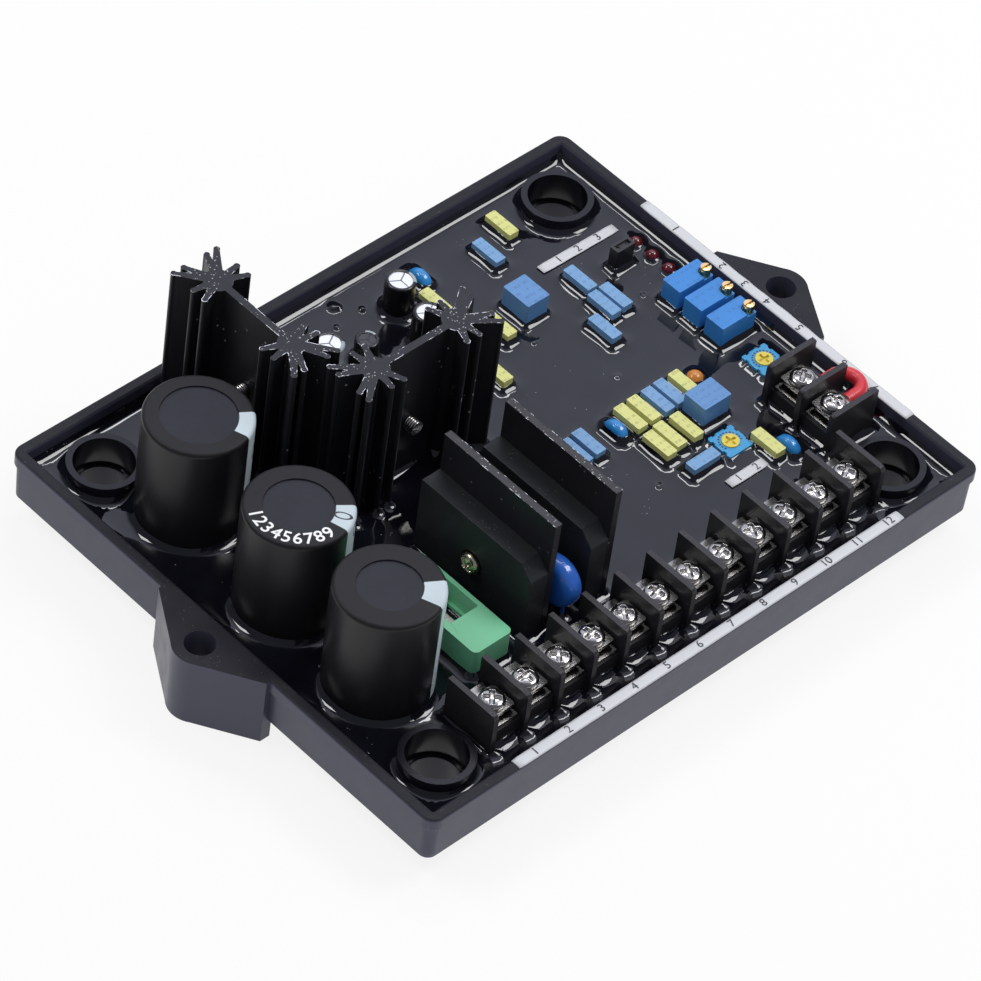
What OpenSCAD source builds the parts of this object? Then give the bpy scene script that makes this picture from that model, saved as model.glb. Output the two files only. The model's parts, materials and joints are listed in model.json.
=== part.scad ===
// Potted automatic voltage regulator for a generator
// An open tray on two ears and four corner bosses, filled with resin that a board and its parts stand in
// X runs along the long terminal strip, Y away from it, Z up from the mounting plane

/* [Tray] */
// Width of the tray over its lip, along X
tray_w = 145; // [130:0.5:165]
// Depth of the tray over its lip, along Y
tray_d = 117.5; // [105:0.5:135]
// Height of the rim above the mounting plane
rim_z = 16; // [15:0.25:19]
// Height of the tray's underside above the mounting plane
tray_lift = 4.9; // [3:0.1:5]
// Thickness of the tray's walls at the rim
wall = 2; // [1.5:0.1:2.2]
// Thickness of the tray's floor
floor_t = 1.2; // [1:0.1:1.4]
// How far the lip stands out from the wall
lip_out = 0.5; // [0.2:0.1:0.7]
// Height of the lip
lip_h = 2.6; // [1.5:0.1:5]
// How far the wall leans in from the lip to the underside
wall_draft = 0.2; // [0.1:0.1:0.8]
// Outer radius of the tray's corners
corner_r = 2.8; // [2.7:0.1:7]
// Radius of the rounded rim
rim_r = 0.6; // [0.3:0.1:0.9]

/* [Ears and bosses] */
// Distance from the lip to an ear hole's axis
ear_out = 3.8; // [3.4:0.1:8]
// Diameter of the ear holes
ear_hole_d = 6.1; // [5:0.1:7]
// Plastic around an ear hole
ear_ring = 2.4; // [1.8:0.1:4]
// Width of an ear at its root
ear_base = 30; // [20:0.2:40]
// How far the ear's root stands out from the lip before it tapers
ear_root = 0.8; // [0.2:0.1:2]
// Distance from the lip to a boss axis, along X
boss_in_x = 13; // [12:0.1:13.2]
// Distance from the lip to a boss axis, along Y
boss_in_y = 12.5; // [12:0.1:16]
// Height of the bosses above the mounting plane
boss_z = 15.1; // [12:0.1:16]
// Outer diameter of a boss
boss_d = 14.7; // [14.2:0.1:14.9]
// Diameter of the wide hole in a boss, for a rubber bush
bush_d = 12.1; // [11:0.1:13]
// Height of the bush's seat above the mounting plane
bush_seat = 8; // [3:0.1:9]
// Diameter of the through hole below the bush
boss_hole_d = 10.5; // [6:0.1:11]
// Depth of the flat on a boss beside the long terminal block
boss_flat = 0.35; // [0.3:0.05:0.6]

/* [Board and resin] */
// Height of the board's underside above the mounting plane
board_z = 6.4; // [6.3:0.1:6.8]
// Thickness of the board
board_t = 1.6; // [1:0.1:2]
// Gap from the board's edge to the tray's walls and bosses
board_gap = 0.8; // [0.4:0.1:1.5]
// Diameter of the posts under the board
post_d = 6; // [3:0.5:8]
// Height of the resin's surface above the mounting plane
resin_z = 11.8; // [10.5:0.1:12.5]
// Clearance between the resin and what stands in it
fit = 0.05; // [0.02:0.01:0.1]

/* [Terminal blocks] */
// Distance between two terminal screws
pitch = 8.47; // [7.62:0.01:8.7]
// Thickness of a barrier
barrier_t = 1.2; // [0.8:0.1:1.5]
// Height of the barriers above the board
barrier_h = 14.5; // [13:0.1:18]
// Reach of the barriers in front of the screws
barrier_front = 5.5; // [5:0.1:7]
// Reach of the barriers behind the screws
barrier_back = 7; // [6:0.1:8]
// Height of the pole floor above the board
pole_h = 8.2; // [7:0.1:9]
// Step from the barriers' front to the pole floor's front
pole_step = 1.1; // [0.5:0.1:2]
// Thickness of the contact plates
plate_t = 0.9; // [0.6:0.1:1.2]
// Width of the contact plates and clamp washers
plate_w = 6.4; // [5:0.1:6.8]
// Gap that a wire is clamped in
clamp_gap = 1; // [0.9:0.1:1.5]
// Thickness of the square clamp washers
washer_t = 0.8; // [0.5:0.1:1]
// Terminal screw: thread diameter
term_screw_d = 3; // [2.5:0.1:3.5]
// Terminal screw: head diameter
term_head_d = 5.2; // [4.5:0.1:6]
// Terminal screw: head height
term_head_h = 1.5; // [1.2:0.1:2.2]
// How far the long block's middle lies to the right of the tray's
main_off = 1; // [0:0.1:1]
// Distance from the front lip to the long block's screws
main_in = 13.4; // [12.4:0.1:16]
// Distance from the right-hand lip to the side block's screws
side_in = 13.4; // [13:0.1:16]
// Outer diameter of the link wire's insulation
wire_d = 2.8; // [2:0.1:3.2]
// Diameter of the link wire's bare conductor
core_d = 0.9; // [0.6:0.1:0.9]

/* [Large parts] */
// Diameter of the main capacitors
cap_d = 21.4; // [18:0.1:23]
// Height of the main capacitors above the board
cap_h = 30; // [25:0.1:40]
// Length of a heat sink profile, along its web
sink_l = 35; // [33:0.1:35.4]
// Width of a heat sink profile, across its web
sink_w = 12; // [10:0.1:12.6]
// Height of the heat sinks above the board
sink_h = 37.7; // [30:0.1:50]
// Distance between the two stars of a heat sink
star_span = 20.8; // [19:0.1:22]
// Thickness of a heat sink's fins
fin_t = 1.25; // [0.9:0.05:1.5]
// Thickness of a heat sink's fins at the root
fin_root = 2.2; // [1.8:0.1:2.6]
// Thickness of a heat sink's web
web_t = 1.5; // [1.2:0.1:2.5]
// Height of the transistor screws above the board
trans_hole = 17.4; // [16:0.1:22]
// Width of the rectifiers and of their cooling plates
rect_w = 30; // [25:0.5:30.5]
// Height of a rectifier's body
rect_h = 20; // [15:0.5:22]
// Thickness of a rectifier's body
rect_t = 4.6; // [3.5:0.1:5]
// Height of the cooling plates above the board
fin_plate_h = 32; // [28:0.1:38]
// Thickness of the cooling plates
fin_plate_t = 1.6; // [1:0.1:2]
// Thread diameter of the rectifier and transistor screws
m_screw_d = 3; // [2.5:0.1:3]
// Diameter of the varistor disc
mov_d = 11; // [9:0.1:12]
// Thickness of the varistor disc
mov_t = 4.4; // [3:0.1:5]

/* [Fuse holder] */
// Width of the fuse holder's cover
fuse_w = 9.7; // [9:0.1:10.5]
// Length of the fuse holder's cover
fuse_l = 25.4; // [25:0.1:27]
// Height of the fuse holder above the board
fuse_h = 10.7; // [9.6:0.1:14]
// Wall of the cover
fuse_wall = 0.8; // [0.7:0.1:1]
// Diameter of the fuse
fuse_d = 5.2; // [4.5:0.1:5.4]
// Length of the fuse
fuse_len = 20; // [18:0.1:20.5]

/* [Trimmers and small parts] */
// Length of a multi-turn trimmer
trim_l = 9.5; // [8.5:0.1:10]
// Width of a multi-turn trimmer
trim_w = 4.8; // [4:0.1:5.4]
// Height of a multi-turn trimmer above the board
trim_h = 9.6; // [8:0.1:12]
// Diameter of a trimmer's brass screw
trim_screw_d = 2.2; // [1.6:0.1:2.2]
// Side of a rotary trimmer
rotary_w = 6.4; // [6:0.1:6.8]
// Height of a rotary trimmer above the board
rotary_h = 5; // [4.4:0.1:7]
// Diameter of a rotary trimmer's rotor
rotor_d = 3.6; // [3:0.1:4]
// Running clearance round a turning piece
run = 0.06; // [0.03:0.01:0.09]
// Length of a film capacitor
film_l = 7.2; // [6:0.1:7.4]
// Thickness of a film capacitor
film_t = 2.6; // [2:0.1:2.7]
// Height of a film capacitor above the board
film_h = 6.4; // [5:0.1:9]
// Height of the large film capacitors above the board
big_film_h = 9.4; // [8:0.1:12]
// Diameter of the small electrolytic capacitors
ecap_d = 6.3; // [5:0.1:6.6]
// Height of the small electrolytic capacitors above the board
ecap_h = 12.2; // [10:0.1:15]
// Diameter of the smallest electrolytic capacitor
tiny_d = 5; // [4:0.1:6.3]
// Height of the smallest electrolytic capacitor above the board
tiny_h = 9.6; // [8:0.1:13]
// Diameter of the indicator lamps
led_d = 3; // [2.5:0.1:3.2]
// Height of the indicator lamps above the board
led_h = 5.4; // [5:0.1:8]

/* [Hidden] */
$fn = 64;
eps = 0.01;

// Levels
bz = board_z + board_t;
floor_z = tray_lift + floor_t;
cavity_w = tray_w - 2 * (lip_out + wall);
cavity_d = tray_d - 2 * (lip_out + wall);
cavity_r = corner_r - lip_out - wall;
// Corner bosses, ears and board posts
boss_x = tray_w / 2 - boss_in_x;
boss_y = tray_d / 2 - boss_in_y;
ear_span = tray_w + 2 * ear_out;
ear_r = ear_hole_d / 2 + ear_ring;
post_at = [for (x = [-1, 1], y = [-1, 1]) [x * boss_x * 0.62, y * boss_y * 0.8]];
// Layout from the four sides of the lip
right = tray_w / 2;
left = -tray_w / 2;
front = -tray_d / 2;
back = tray_d / 2;
// Points given as distances from the right-hand lip and the front or the back lip
function from_front(list) = [for (p = list) [right - p.x, front + p.y]];
function from_back(list) = [for (p = list) [right - p.x, back - p.y]];
// Terminal blocks: as many poles as fit between the front bosses, and the screws of each block
main_room = 2 * (boss_x - boss_d / 2 + boss_flat - main_off);
main_poles = floor((main_room - barrier_t) / pitch);
main_c = [main_off, front + main_in];
main_back = main_c.y + barrier_back;
side_c = [right - side_in, front + 32.15];
side_poles = 2;
main_screws = [for (i = [0:main_poles - 1]) main_c + [(i - (main_poles - 1) / 2) * pitch, 0]];
side_screws = [for (i = [0:side_poles - 1]) side_c + [0, -(i - (side_poles - 1) / 2) * pitch]];
plate_z = bz + pole_h;
washer_z = plate_z + plate_t + clamp_gap;
head_z = washer_z + washer_t;
screw_tip = 6;
wire_z = max(plate_z + plate_t + core_d / 2, rim_z + wire_d / 2 + 0.3);
wire_end = 3.7;
wire_x = barrier_back - 0.4;
wire_hug = barrier_t / 2 + 0.15 + wire_d / 2;
wire_side = term_screw_d / 2 + core_d / 2 + 0.2;
// Main capacitors: three in the room between the two left-hand bosses, its slack shared out
cap_in = [19.4, 18.7, 18.5];
cap_land = [3.2, 3.9, 4.4];
function boss_reach(i) = sqrt(pow((cap_d + boss_d) / 2, 2) - pow(cap_in[i] - boss_in_x, 2));
cap_lo = boss_reach(2) - boss_y;
cap_hi = boss_y - boss_reach(0);
cap_slack = cap_hi - cap_lo - 2 * cap_d;
cap_y = [cap_hi - 0.03 * cap_slack, cap_lo + 0.515 * cap_slack + cap_d, cap_lo + 0.295 * cap_slack];
cap_at = [for (i = [0:2]) [left + cap_in[i], cap_y[i]]];
// Heat sinks: the first by the back wall, the second across its front end
sink_gap = 1.1;
sink_1 = [left + 40.1, back - 21.45];
sink_2 = [-14.1, sink_1.y - sink_l / 2 - sink_gap - sink_w / 2];
end_reach = (sink_l - star_span) / 2;
star_hub = 2.9;
fork_share = 0.7;
trans = [10.2, 15.7, 4.5];
trans_tab = 1.3;
trans_above = 2.8;
m_head_d = 5.5;
m_head_h = 2;
m_tip = 2.4;
// Rectifiers: between the long block and the second heat sink
plate_front = [left + 50.9, left + 65.8];
rect_slack = sink_2.y - sink_w / 2 - main_back - rect_w;
rect_mid = [for (t = [0.289, 0.2425]) main_back + t * rect_slack + rect_w / 2];
rect_up = 2.8;
rect_z = bz + rect_up;
rect_bore_d = 5.1;
rect_head_d = 4.6;
rect_head_h = 2;
mov_at = [left + 56.8, front + 27.45];
mov_up = 11.7;
mov_z = bz + mov_up;
fuse_at = [left + 37.45, front + 36.45];
base_wall = 0.9;
base_h = 6;
trough_z = 0.6;
// Right-hand column: rotary trimmer, three trimmers and three lamps between the side block and the back boss
trim_pitch = 6.25;
led_pitch = 4.7;
led_flange = 0.8;
trim_in = [9.9, 10.1, 10.3];
col_lo = side_c.y + (side_poles * pitch + barrier_t) / 2;
col_hi = boss_y - boss_d / 2;
col_slack = col_hi - col_lo - rotary_w - 2 * trim_pitch - trim_w - 2 * led_pitch - led_d - led_flange;
rotary_y = col_lo + 0.212 * col_slack + rotary_w / 2;
trim_y = rotary_y + rotary_w / 2 + 0.235 * col_slack + trim_w / 2;
led_y = trim_y + 2 * trim_pitch + trim_w / 2 + 0.154 * col_slack + (led_d + led_flange) / 2;
trim_at = [for (i = [0:2]) [right - trim_in[i], trim_y + (2 - i) * trim_pitch]];
trim_off = [trim_l / 2 - 1.25, -(trim_w / 2 - 1.25)];
trim_deep = 5;
head_up = 1.5;
rotary_at = [[right - 31.6, front + 36.85], [right - 10.6, rotary_y]];
rotor_up = 0.25;
led_in = 7.3;
led_at = [for (i = [0:2]) [right - led_in, led_y + (2 - i) * led_pitch]];
jumper_at = [right - 14.2, led_y + led_pitch + 2.2];
// Small parts
yellow_at = concat(
    from_front([[43.4, 52.65], [39.7, 52.75], [43.9, 44.05], [40.6, 44.65],
        [36.3, 44.45], [28.5, 52.75], [26.6, 31.65]]),
    from_back([[26.6, 10.85], [46.3, 31.15], [55.5, 39.75], [51.9, 18.65]]));
blue_at = concat(
    from_front([[35.9, 52.75], [32.5, 52.85], [58.2, 52.55], [54.5, 52.85]]),
    from_back([[24.8, 31.45], [25.8, 39.35], [22.5, 39.15], [30.3, 44.15], [34, 14.85]]));
blue_cross_at = [right - 40.1, front + 35.95];
big_at = [[right - 29.5, front + 45.95], [right - 38.2, back - 29.65]];
big_size = [[7.2, 5.8], [5.8, 7.2]];
disc_at = concat(from_front([[46.9, 52.85], [23.1, 29.35]]), from_back([[48.9, 11.15]]));
disc_d = 6.4;
disc_t = 2.8;
disc_z = bz + disc_d / 2 + 0.1;
jumper_size = [5.1, 2.5];
mov_legs = 2.5;
rect_legs = [-10, -2.5, 5, 12];
trans_leg_y = 2.3;
ecap_size = [for (i = [0:3]) i < 3 ? [ecap_d, ecap_h] : [tiny_d, tiny_h]];
bead_at = [right - 24.7, front + 53.55];
bead_d = 4;
ecap_at = [
    [right - 57.9, back - 14.35], [right - 59.6, back - 24.15], [-8.1, back - 18.55], [0.4, back - 20.55]
];

// Rectangle with rounded corners, centred
module rrect(w, d, r) {
    square([w - 2 * r, d], center = true);
    square([w, d - 2 * r], center = true);
    for (x = [-1, 1], y = [-1, 1]) translate([x * (w / 2 - r), y * (d / 2 - r)]) circle(r);
}

// Upright block with rounded corners on point p
module block(p, s, z, h, r) {
    translate([p.x, p.y, z]) linear_extrude(h) rrect(s.x, s.y, r);
}

// Profile swept round a rounded rectangle, with x measured from the corner's centre
module sweep_round(w, d, r) {
    for (m = [0, 1]) mirror([m, 0, 0]) translate([w / 2 - r, 0, 0])
        rotate([90, 0, 0]) linear_extrude(d - 2 * r, center = true) children();
    for (m = [0, 1]) mirror([0, m, 0]) translate([0, d / 2 - r, 0])
        rotate([90, 0, 90]) linear_extrude(w - 2 * r, center = true) children();
    for (x = [-1, 1], y = [-1, 1]) translate([x * (w / 2 - r), y * (d / 2 - r), 0])
        rotate([0, 0, x > 0 ? (y > 0 ? 0 : -90) : (y > 0 ? 90 : 180)]) rotate_extrude(angle = 90) children();
}

// Section of the tray's wall with its lip and rounded rim
module wall_section() {
    inner = cavity_r;
    outer = corner_r - lip_out;
    polygon([
        [inner, tray_lift], [outer - wall_draft, tray_lift], [outer, rim_z - lip_h], [inner, rim_z - lip_h]
    ]);
    translate([inner, rim_z - lip_h - eps]) square([corner_r - inner, lip_h - rim_r + eps]);
    translate([inner + rim_r, rim_z - rim_r - eps]) square([corner_r - inner - 2 * rim_r, rim_r + eps]);
    for (x = [inner + rim_r, corner_r - rim_r]) translate([x, rim_z - rim_r]) circle(rim_r);
}

// Point where a line from b touches the circle round h
function touch(b, h, r, s) =
    let (v = b - h, a = acos(r / norm(v)), t = atan2(v.y, v.x)) h + r * [cos(t - s * a), sin(t - s * a)];

module ear_outline() {
    h = [ear_span / 2, 0];
    b = [tray_w / 2 + ear_root, ear_base / 2];
    c = [b.x, -b.y];
    inner = tray_w / 2 - lip_out - wall / 2;
    // The flanks meet the round tip just inside its edge
    polygon([
        [inner, b.y], b, touch(b, h, ear_r - 0.05, 1), h, touch(c, h, ear_r - 0.05, -1), c, [inner, c.y]
    ]);
    translate(h) circle(ear_r);
}

module at_bosses() {
    for (x = [-1, 1], y = [-1, 1]) translate([x * boss_x, y * boss_y, 0]) children();
}

module tray() color("#26262a") difference() {
    union() {
        sweep_round(tray_w, tray_d, corner_r) wall_section();
        translate([0, 0, tray_lift]) linear_extrude(floor_t)
            rrect(cavity_w + wall, cavity_d + wall, cavity_r + wall / 2);
        at_bosses() cylinder(d = boss_d, h = boss_z);
        for (p = post_at) translate([p.x, p.y, floor_z - eps])
            cylinder(d = post_d, h = board_z - floor_z + eps);
        for (m = [0, 1]) mirror([m, 0, 0]) linear_extrude(rim_z) ear_outline();
    }
    at_bosses() {
        translate([0, 0, bush_seat]) cylinder(d = bush_d, h = boss_z);
        translate([0, 0, -1]) cylinder(d = boss_hole_d, h = bush_seat + 2);
    }
    block_room(main_c, [main_poles * pitch + barrier_t, barrier_front + barrier_back], barrier_h);
    for (m = [0, 1]) mirror([m, 0, 0]) translate([ear_span / 2, 0, -1])
        cylinder(d = ear_hole_d, h = rim_z + 2);
}

module circuit_board() color("#1f5a3a") translate([0, 0, board_z]) linear_extrude(board_t) difference() {
    rrect(cavity_w - 2 * board_gap, cavity_d - 2 * board_gap, 1);
    for (x = [-1, 1], y = [-1, 1]) translate([x * boss_x, y * boss_y]) {
        circle(d = boss_d + 2 * board_gap);
        translate([x * boss_in_x / 2, y * boss_in_y / 2])
            square([boss_in_x + boss_d / 2, boss_in_y + boss_d / 2], center = true);
    }
}

// Room for a terminal block whose screws are in a line along X
module block_room(c, s, h) {
    translate([c.x, c.y + (barrier_back - barrier_front) / 2, bz]) linear_extrude(h)
        square([s.x + 2 * fit, s.y + 2 * fit], center = true);
}

// Straight-sided pockets that the parts stand in
module pocket_box(p, s) {
    translate([p.x, p.y, bz]) linear_extrude(resin_z) square([s.x + 2 * fit, s.y + 2 * fit], center = true);
}

module pocket_round(p, d) {
    translate([p.x, p.y, bz]) cylinder(d = d + 2 * fit, h = resin_z);
}

module pockets() {
    for (p = cap_at) pocket_round(p, cap_d);
    translate([sink_1.x, sink_1.y, bz]) rotate(-90) linear_extrude(resin_z) sink_profile(fit);
    translate([sink_2.x, sink_2.y, bz]) linear_extrude(resin_z) sink_profile(fit);
    translate([sink_1.x, sink_1.y, 0]) rotate(-90) leg_pockets();
    translate([sink_2.x, sink_2.y, 0]) leg_pockets();
    for (i = [0, 1]) {
        pocket_box([plate_front[i] + fin_plate_t / 2, rect_mid[i]], [fin_plate_t, rect_w]);
        translate([plate_front[i] - rect_t - fit, rect_mid[i] - rect_w / 2 - fit, rect_z - fit])
            cube([rect_t + 2 * fit, rect_w + 2 * fit, resin_z]);
        for (y = rect_legs) pocket_box([plate_front[i] - rect_t / 2, rect_mid[i] + y], [0.8, 1.2]);
    }
    for (y = [-1, 1]) pocket_round(mov_at + [0, y * mov_legs], 0.8);
    pocket_box(fuse_at, [fuse_w - 2 * fuse_wall, fuse_l - 2 * fuse_wall]);
    block_room(main_c, [main_poles * pitch + barrier_t, barrier_front + barrier_back], resin_z);
    pocket_box(side_c + [(barrier_back - barrier_front) / 2, 0],
        [barrier_front + barrier_back, side_poles * pitch + barrier_t]);
    for (p = trim_at) pocket_box(p, [trim_l, trim_w]);
    for (p = rotary_at) pocket_box(p, [rotary_w, rotary_w]);
    for (p = led_at) {
        pocket_round(p, led_d);
        translate([p.x, p.y, bz]) cylinder(d = led_d + led_flange + 2 * fit, h = 1 + fit);
    }
    pocket_box(jumper_at, jumper_size);
    for (p = concat(yellow_at, blue_at)) pocket_box(p, [film_t, film_l]);
    pocket_box(blue_cross_at, [film_l, film_t]);
    for (i = [0, 1]) pocket_box(big_at[i], big_size[i]);
    for (p = disc_at) translate([p.x, p.y, disc_z]) standing_disc(disc_d + 2 * fit, disc_t + 2 * fit);
    pocket_round(bead_at, bead_d);
    for (i = [0:3]) pocket_round(ecap_at[i], ecap_size[i].x);
}

// Slots for a transistor's three legs
module leg_pockets() {
    for (i = [-1, 0, 1]) pocket_box([i * 2.54, web_t / 2 + trans_leg_y + 0.25], [0.8, 0.5]);
}

module potting_resin() color("#0c0c0f") difference() {
    translate([0, 0, floor_z]) linear_extrude(resin_z - floor_z) difference() {
        rrect(cavity_w - 2 * fit, cavity_d - 2 * fit, cavity_r);
        for (x = [-1, 1], y = [-1, 1]) translate([x * boss_x, y * boss_y]) circle(d = boss_d + 2 * fit);
    }
    circuit_board();
    for (p = post_at) translate([p.x, p.y, floor_z - 1])
        cylinder(d = post_d + 2 * fit, h = board_z - floor_z + 1);
    pockets();
}

// Electrolytic can in a sleeve that turns in over its flat top
module sleeved_can(d, h, edge, land, sink) {
    difference() {
        rotate_extrude() {
            square([d / 2 - edge, h]);
            square([d / 2, h - edge]);
            translate([d / 2 - edge, h - edge]) circle(edge);
        }
        translate([0, 0, h - sink]) cylinder(d = d - 2 * land, h = 1);
    }
}

module main_capacitor(i) color("#17181c") translate([cap_at[i].x, cap_at[i].y, bz])
    sleeved_can(cap_d, cap_h, 0.9, cap_land[i], 0.35);
module main_capacitor_1() main_capacitor(0);
module main_capacitor_2() main_capacitor(1);
module main_capacitor_3() main_capacitor(2);

// Small can with a recessed top
module small_electrolytic(i) color("#20222a") translate([ecap_at[i].x, ecap_at[i].y, bz])
    sleeved_can(ecap_size[i].x, ecap_size[i].y, 0.5, 0.75, 0.25);
module small_electrolytic_1() small_electrolytic(0);
module small_electrolytic_2() small_electrolytic(1);
module small_electrolytic_3() small_electrolytic(2);
module small_electrolytic_4() small_electrolytic(3);

// Fin from the middle of a star to a rounded tip, grown by g on every side
module star_fin(tip, g) rotate(atan2(tip.y, tip.x)) {
    l = norm(tip);
    polygon([[0, -fin_root / 2 - g], [l, -fin_t * 0.4 - g], [l, fin_t * 0.4 + g], [0, fin_root / 2 + g]]);
    translate([l, 0]) circle(fin_t / 2 + g);
}

// One star of a heat sink, its web running towards +X
module star(g) {
    side = sink_w / 2 - fin_t / 2;
    end = end_reach - fin_t / 2;
    circle(star_hub + g);
    for (m = [-1, 1]) {
        // Two single fins on each long side
        for (x = [2.3, -0.8]) star_fin([x, m * side], g);
        // One forked corner fin: two tips on a thick root
        tips = [[-end, m * side], [-end, m * side * 0.53]];
        for (t = tips) star_fin(t, g);
        polygon([[0, 0], for (i = m > 0 ? [0, 1] : [1, 0]) tips[i] * (fork_share + g / norm(tips[i]))]);
    }
}

module sink_profile(g) {
    for (m = [0, 1]) mirror([m, 0]) translate([-star_span / 2, 0]) star(g);
    square([star_span, web_t + 2 * g], center = true);
}

module heat_sink() difference() {
    linear_extrude(sink_h) sink_profile(0);
    // Tapped hole for the transistor's screw
    translate([0, -web_t, trans_hole]) rotate([-90, 0, 0]) cylinder(d = m_screw_d + 2 * fit, h = 2 * web_t);
}

module star_heat_sink_1() color("#1b1b1f") translate([sink_1.x, sink_1.y, bz]) rotate(-90) heat_sink();
module star_heat_sink_2() color("#1b1b1f") translate([sink_2.x, sink_2.y, bz]) heat_sink();

// Transistor flat against the +Y face of a web
module transistor() {
    base = trans_hole + trans_above - trans.y;
    translate([0, web_t / 2, 0]) difference() {
        union() {
            translate([-trans.x / 2, 0, base]) cube([trans.x, trans_tab, trans.y]);
            translate([-trans.x / 2, 0, base]) rotate([90, 0, 90]) linear_extrude(trans.x)
                polygon([
                    [0, 0], [trans.z - 0.3, 0], [trans.z, 0.6],
                    [trans.z, 8.7], [trans.z - 0.5, 9.2], [0, 9.2]
                ]);
            for (i = [-1, 0, 1]) translate([i * 2.54 - 0.4, trans_leg_y, 0]) cube([0.8, 0.5, base + 1]);
        }
        translate([0, -1, trans_hole]) rotate([-90, 0, 0]) cylinder(d = m_screw_d + 0.6, h = trans_tab + 2);
    }
}

module power_transistor_1() color("#222226") translate([sink_1.x, sink_1.y, bz]) rotate(-90) transistor();
module power_transistor_2() color("#222226") translate([sink_2.x, sink_2.y, bz]) transistor();

// Pan-head screw pointing to -Z, its seat at the origin
module pan_screw(head_d, head_h, d, l) {
    difference() {
        rotate_extrude() {
            square([head_d / 2, head_h * 0.55]);
            square([head_d / 2 - head_h * 0.45, head_h]);
            translate([head_d / 2 - head_h * 0.45, head_h * 0.55]) circle(head_h * 0.45);
        }
        for (a = [0, 90]) rotate(a) translate([0, 0, head_h])
            cube([head_d * 0.62, head_d * 0.15, head_h], center = true);
    }
    translate([0, 0, -l]) cylinder(d = d, h = l + eps);
}

module sink_screw() {
    translate([0, web_t / 2 + trans_tab, bz + trans_hole]) rotate([-90, 0, 0])
        pan_screw(m_head_d, m_head_h, m_screw_d, trans_tab + web_t + m_tip);
}

module transistor_screws() color("#b9b6ae") {
    translate([sink_1.x, sink_1.y, 0]) rotate(-90) sink_screw();
    translate([sink_2.x, sink_2.y, 0]) sink_screw();
}

module cooling_plate(i) color("#1a1a1d") difference() {
    translate([plate_front[i], rect_mid[i] - rect_w / 2, bz]) cube([fin_plate_t, rect_w, fin_plate_h]);
    translate([plate_front[i] - 1, rect_mid[i], rect_z + rect_h / 2]) rotate([0, 90, 0])
        cylinder(d = m_screw_d + 2 * fit, h = fin_plate_t + 2);
}
module cooling_plate_1() cooling_plate(0);
module cooling_plate_2() cooling_plate(1);

// Flat rectifier with one clipped corner, a screw hole and four legs
module bridge_rectifier(i) color("#141416") {
    clip = 3;
    translate([plate_front[i] - rect_t, rect_mid[i], 0]) difference() {
        union() {
            translate([0, 0, rect_z]) rotate([90, 0, 90]) linear_extrude(rect_t) polygon([
                [-rect_w / 2, 0], [rect_w / 2, 0], [rect_w / 2, rect_h],
                [clip - rect_w / 2, rect_h], [-rect_w / 2, rect_h - clip]
            ]);
            for (y = rect_legs) translate([rect_t / 2 - 0.4, y - 0.6, bz]) cube([0.8, 1.2, rect_z - bz + 1]);
        }
        translate([-1, 0, rect_z + rect_h / 2]) rotate([0, 90, 0]) {
            cylinder(d = m_screw_d + 0.4, h = rect_t + 2);
            cylinder(d = rect_bore_d, h = 1.5);
        }
    }
}
module bridge_rectifier_1() bridge_rectifier(0);
module bridge_rectifier_2() bridge_rectifier(1);

module rectifier_screws() color("#c9bf8c") for (i = [0, 1])
    translate([plate_front[i] - rect_t + 0.5, rect_mid[i], rect_z + rect_h / 2]) rotate([0, -90, 0])
        pan_screw(rect_head_d, rect_head_h, m_screw_d, rect_t + fin_plate_t + 0.5);

// Disc with a rounded rim, standing on its edge across X
module standing_disc(d, t) {
    r = t * 0.42;
    rotate([0, 90, 0]) translate([0, 0, -t / 2]) rotate_extrude() {
        square([d / 2 - r, t]);
        translate([0, r]) square([d / 2, t - 2 * r]);
        for (z = [r, t - r]) translate([d / 2 - r, z]) circle(r);
    }
}

module varistor() color("#16307c") translate([mov_at.x, mov_at.y, 0]) {
    translate([0, 0, mov_z]) standing_disc(mov_d, mov_t);
    for (y = [-1, 1]) translate([0, y * mov_legs, bz]) cylinder(d = 0.8, h = mov_z - bz - mov_d / 4);
}

// Fuse holder: base trough, clips, fuse and a pull-off cover with a window
module fuse_hollow() square(
    [fuse_w - 2 * fuse_wall - 2 * base_wall, fuse_l - 2 * fuse_wall - 2 * base_wall], center = true
);

module fuse_base() color("#3f9467") translate([fuse_at.x, fuse_at.y, bz]) difference() {
    linear_extrude(base_h) rrect(fuse_w - 2 * fuse_wall, fuse_l - 2 * fuse_wall, 0.6);
    translate([0, 0, trough_z]) linear_extrude(base_h) fuse_hollow();
}

module fuse_cover() color("#4fa878") translate([fuse_at.x, fuse_at.y, bz]) difference() {
    translate([0, 0, resin_z - bz + fit]) linear_extrude(fuse_h - (resin_z - bz) - fit)
        rrect(fuse_w, fuse_l, 1.2);
    linear_extrude(base_h) rrect(fuse_w - 2 * fuse_wall + 2 * fit, fuse_l - 2 * fuse_wall + 2 * fit, 0.6);
    linear_extrude(fuse_h - 1.2) fuse_hollow();
    // Window that shows the fuse
    translate([0.35, 0.5, 0]) linear_extrude(fuse_h + 1) rrect(fuse_w - 2.6, 9.4, 0.3);
}

module fuse_clips() color("#c8c8c4") translate([fuse_at.x, fuse_at.y, bz + trough_z]) {
    for (y = [-1, 1]) translate([0, y * (fuse_len / 2 - 2.4), 0]) rotate([90, 0, 0])
    linear_extrude(3.6, center = true) difference() {
        union() {
            translate([0, fuse_d / 2 + 0.4]) circle(d = fuse_d + 0.8);
            translate([-1.6, 0]) square([3.2, 0.8]);
        }
        translate([0, fuse_d / 2 + 0.4]) circle(d = fuse_d + 2 * fit);
        translate([-fuse_d / 2, fuse_d / 2 + 1.4]) square([fuse_d, fuse_d]);
    }
}

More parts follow.
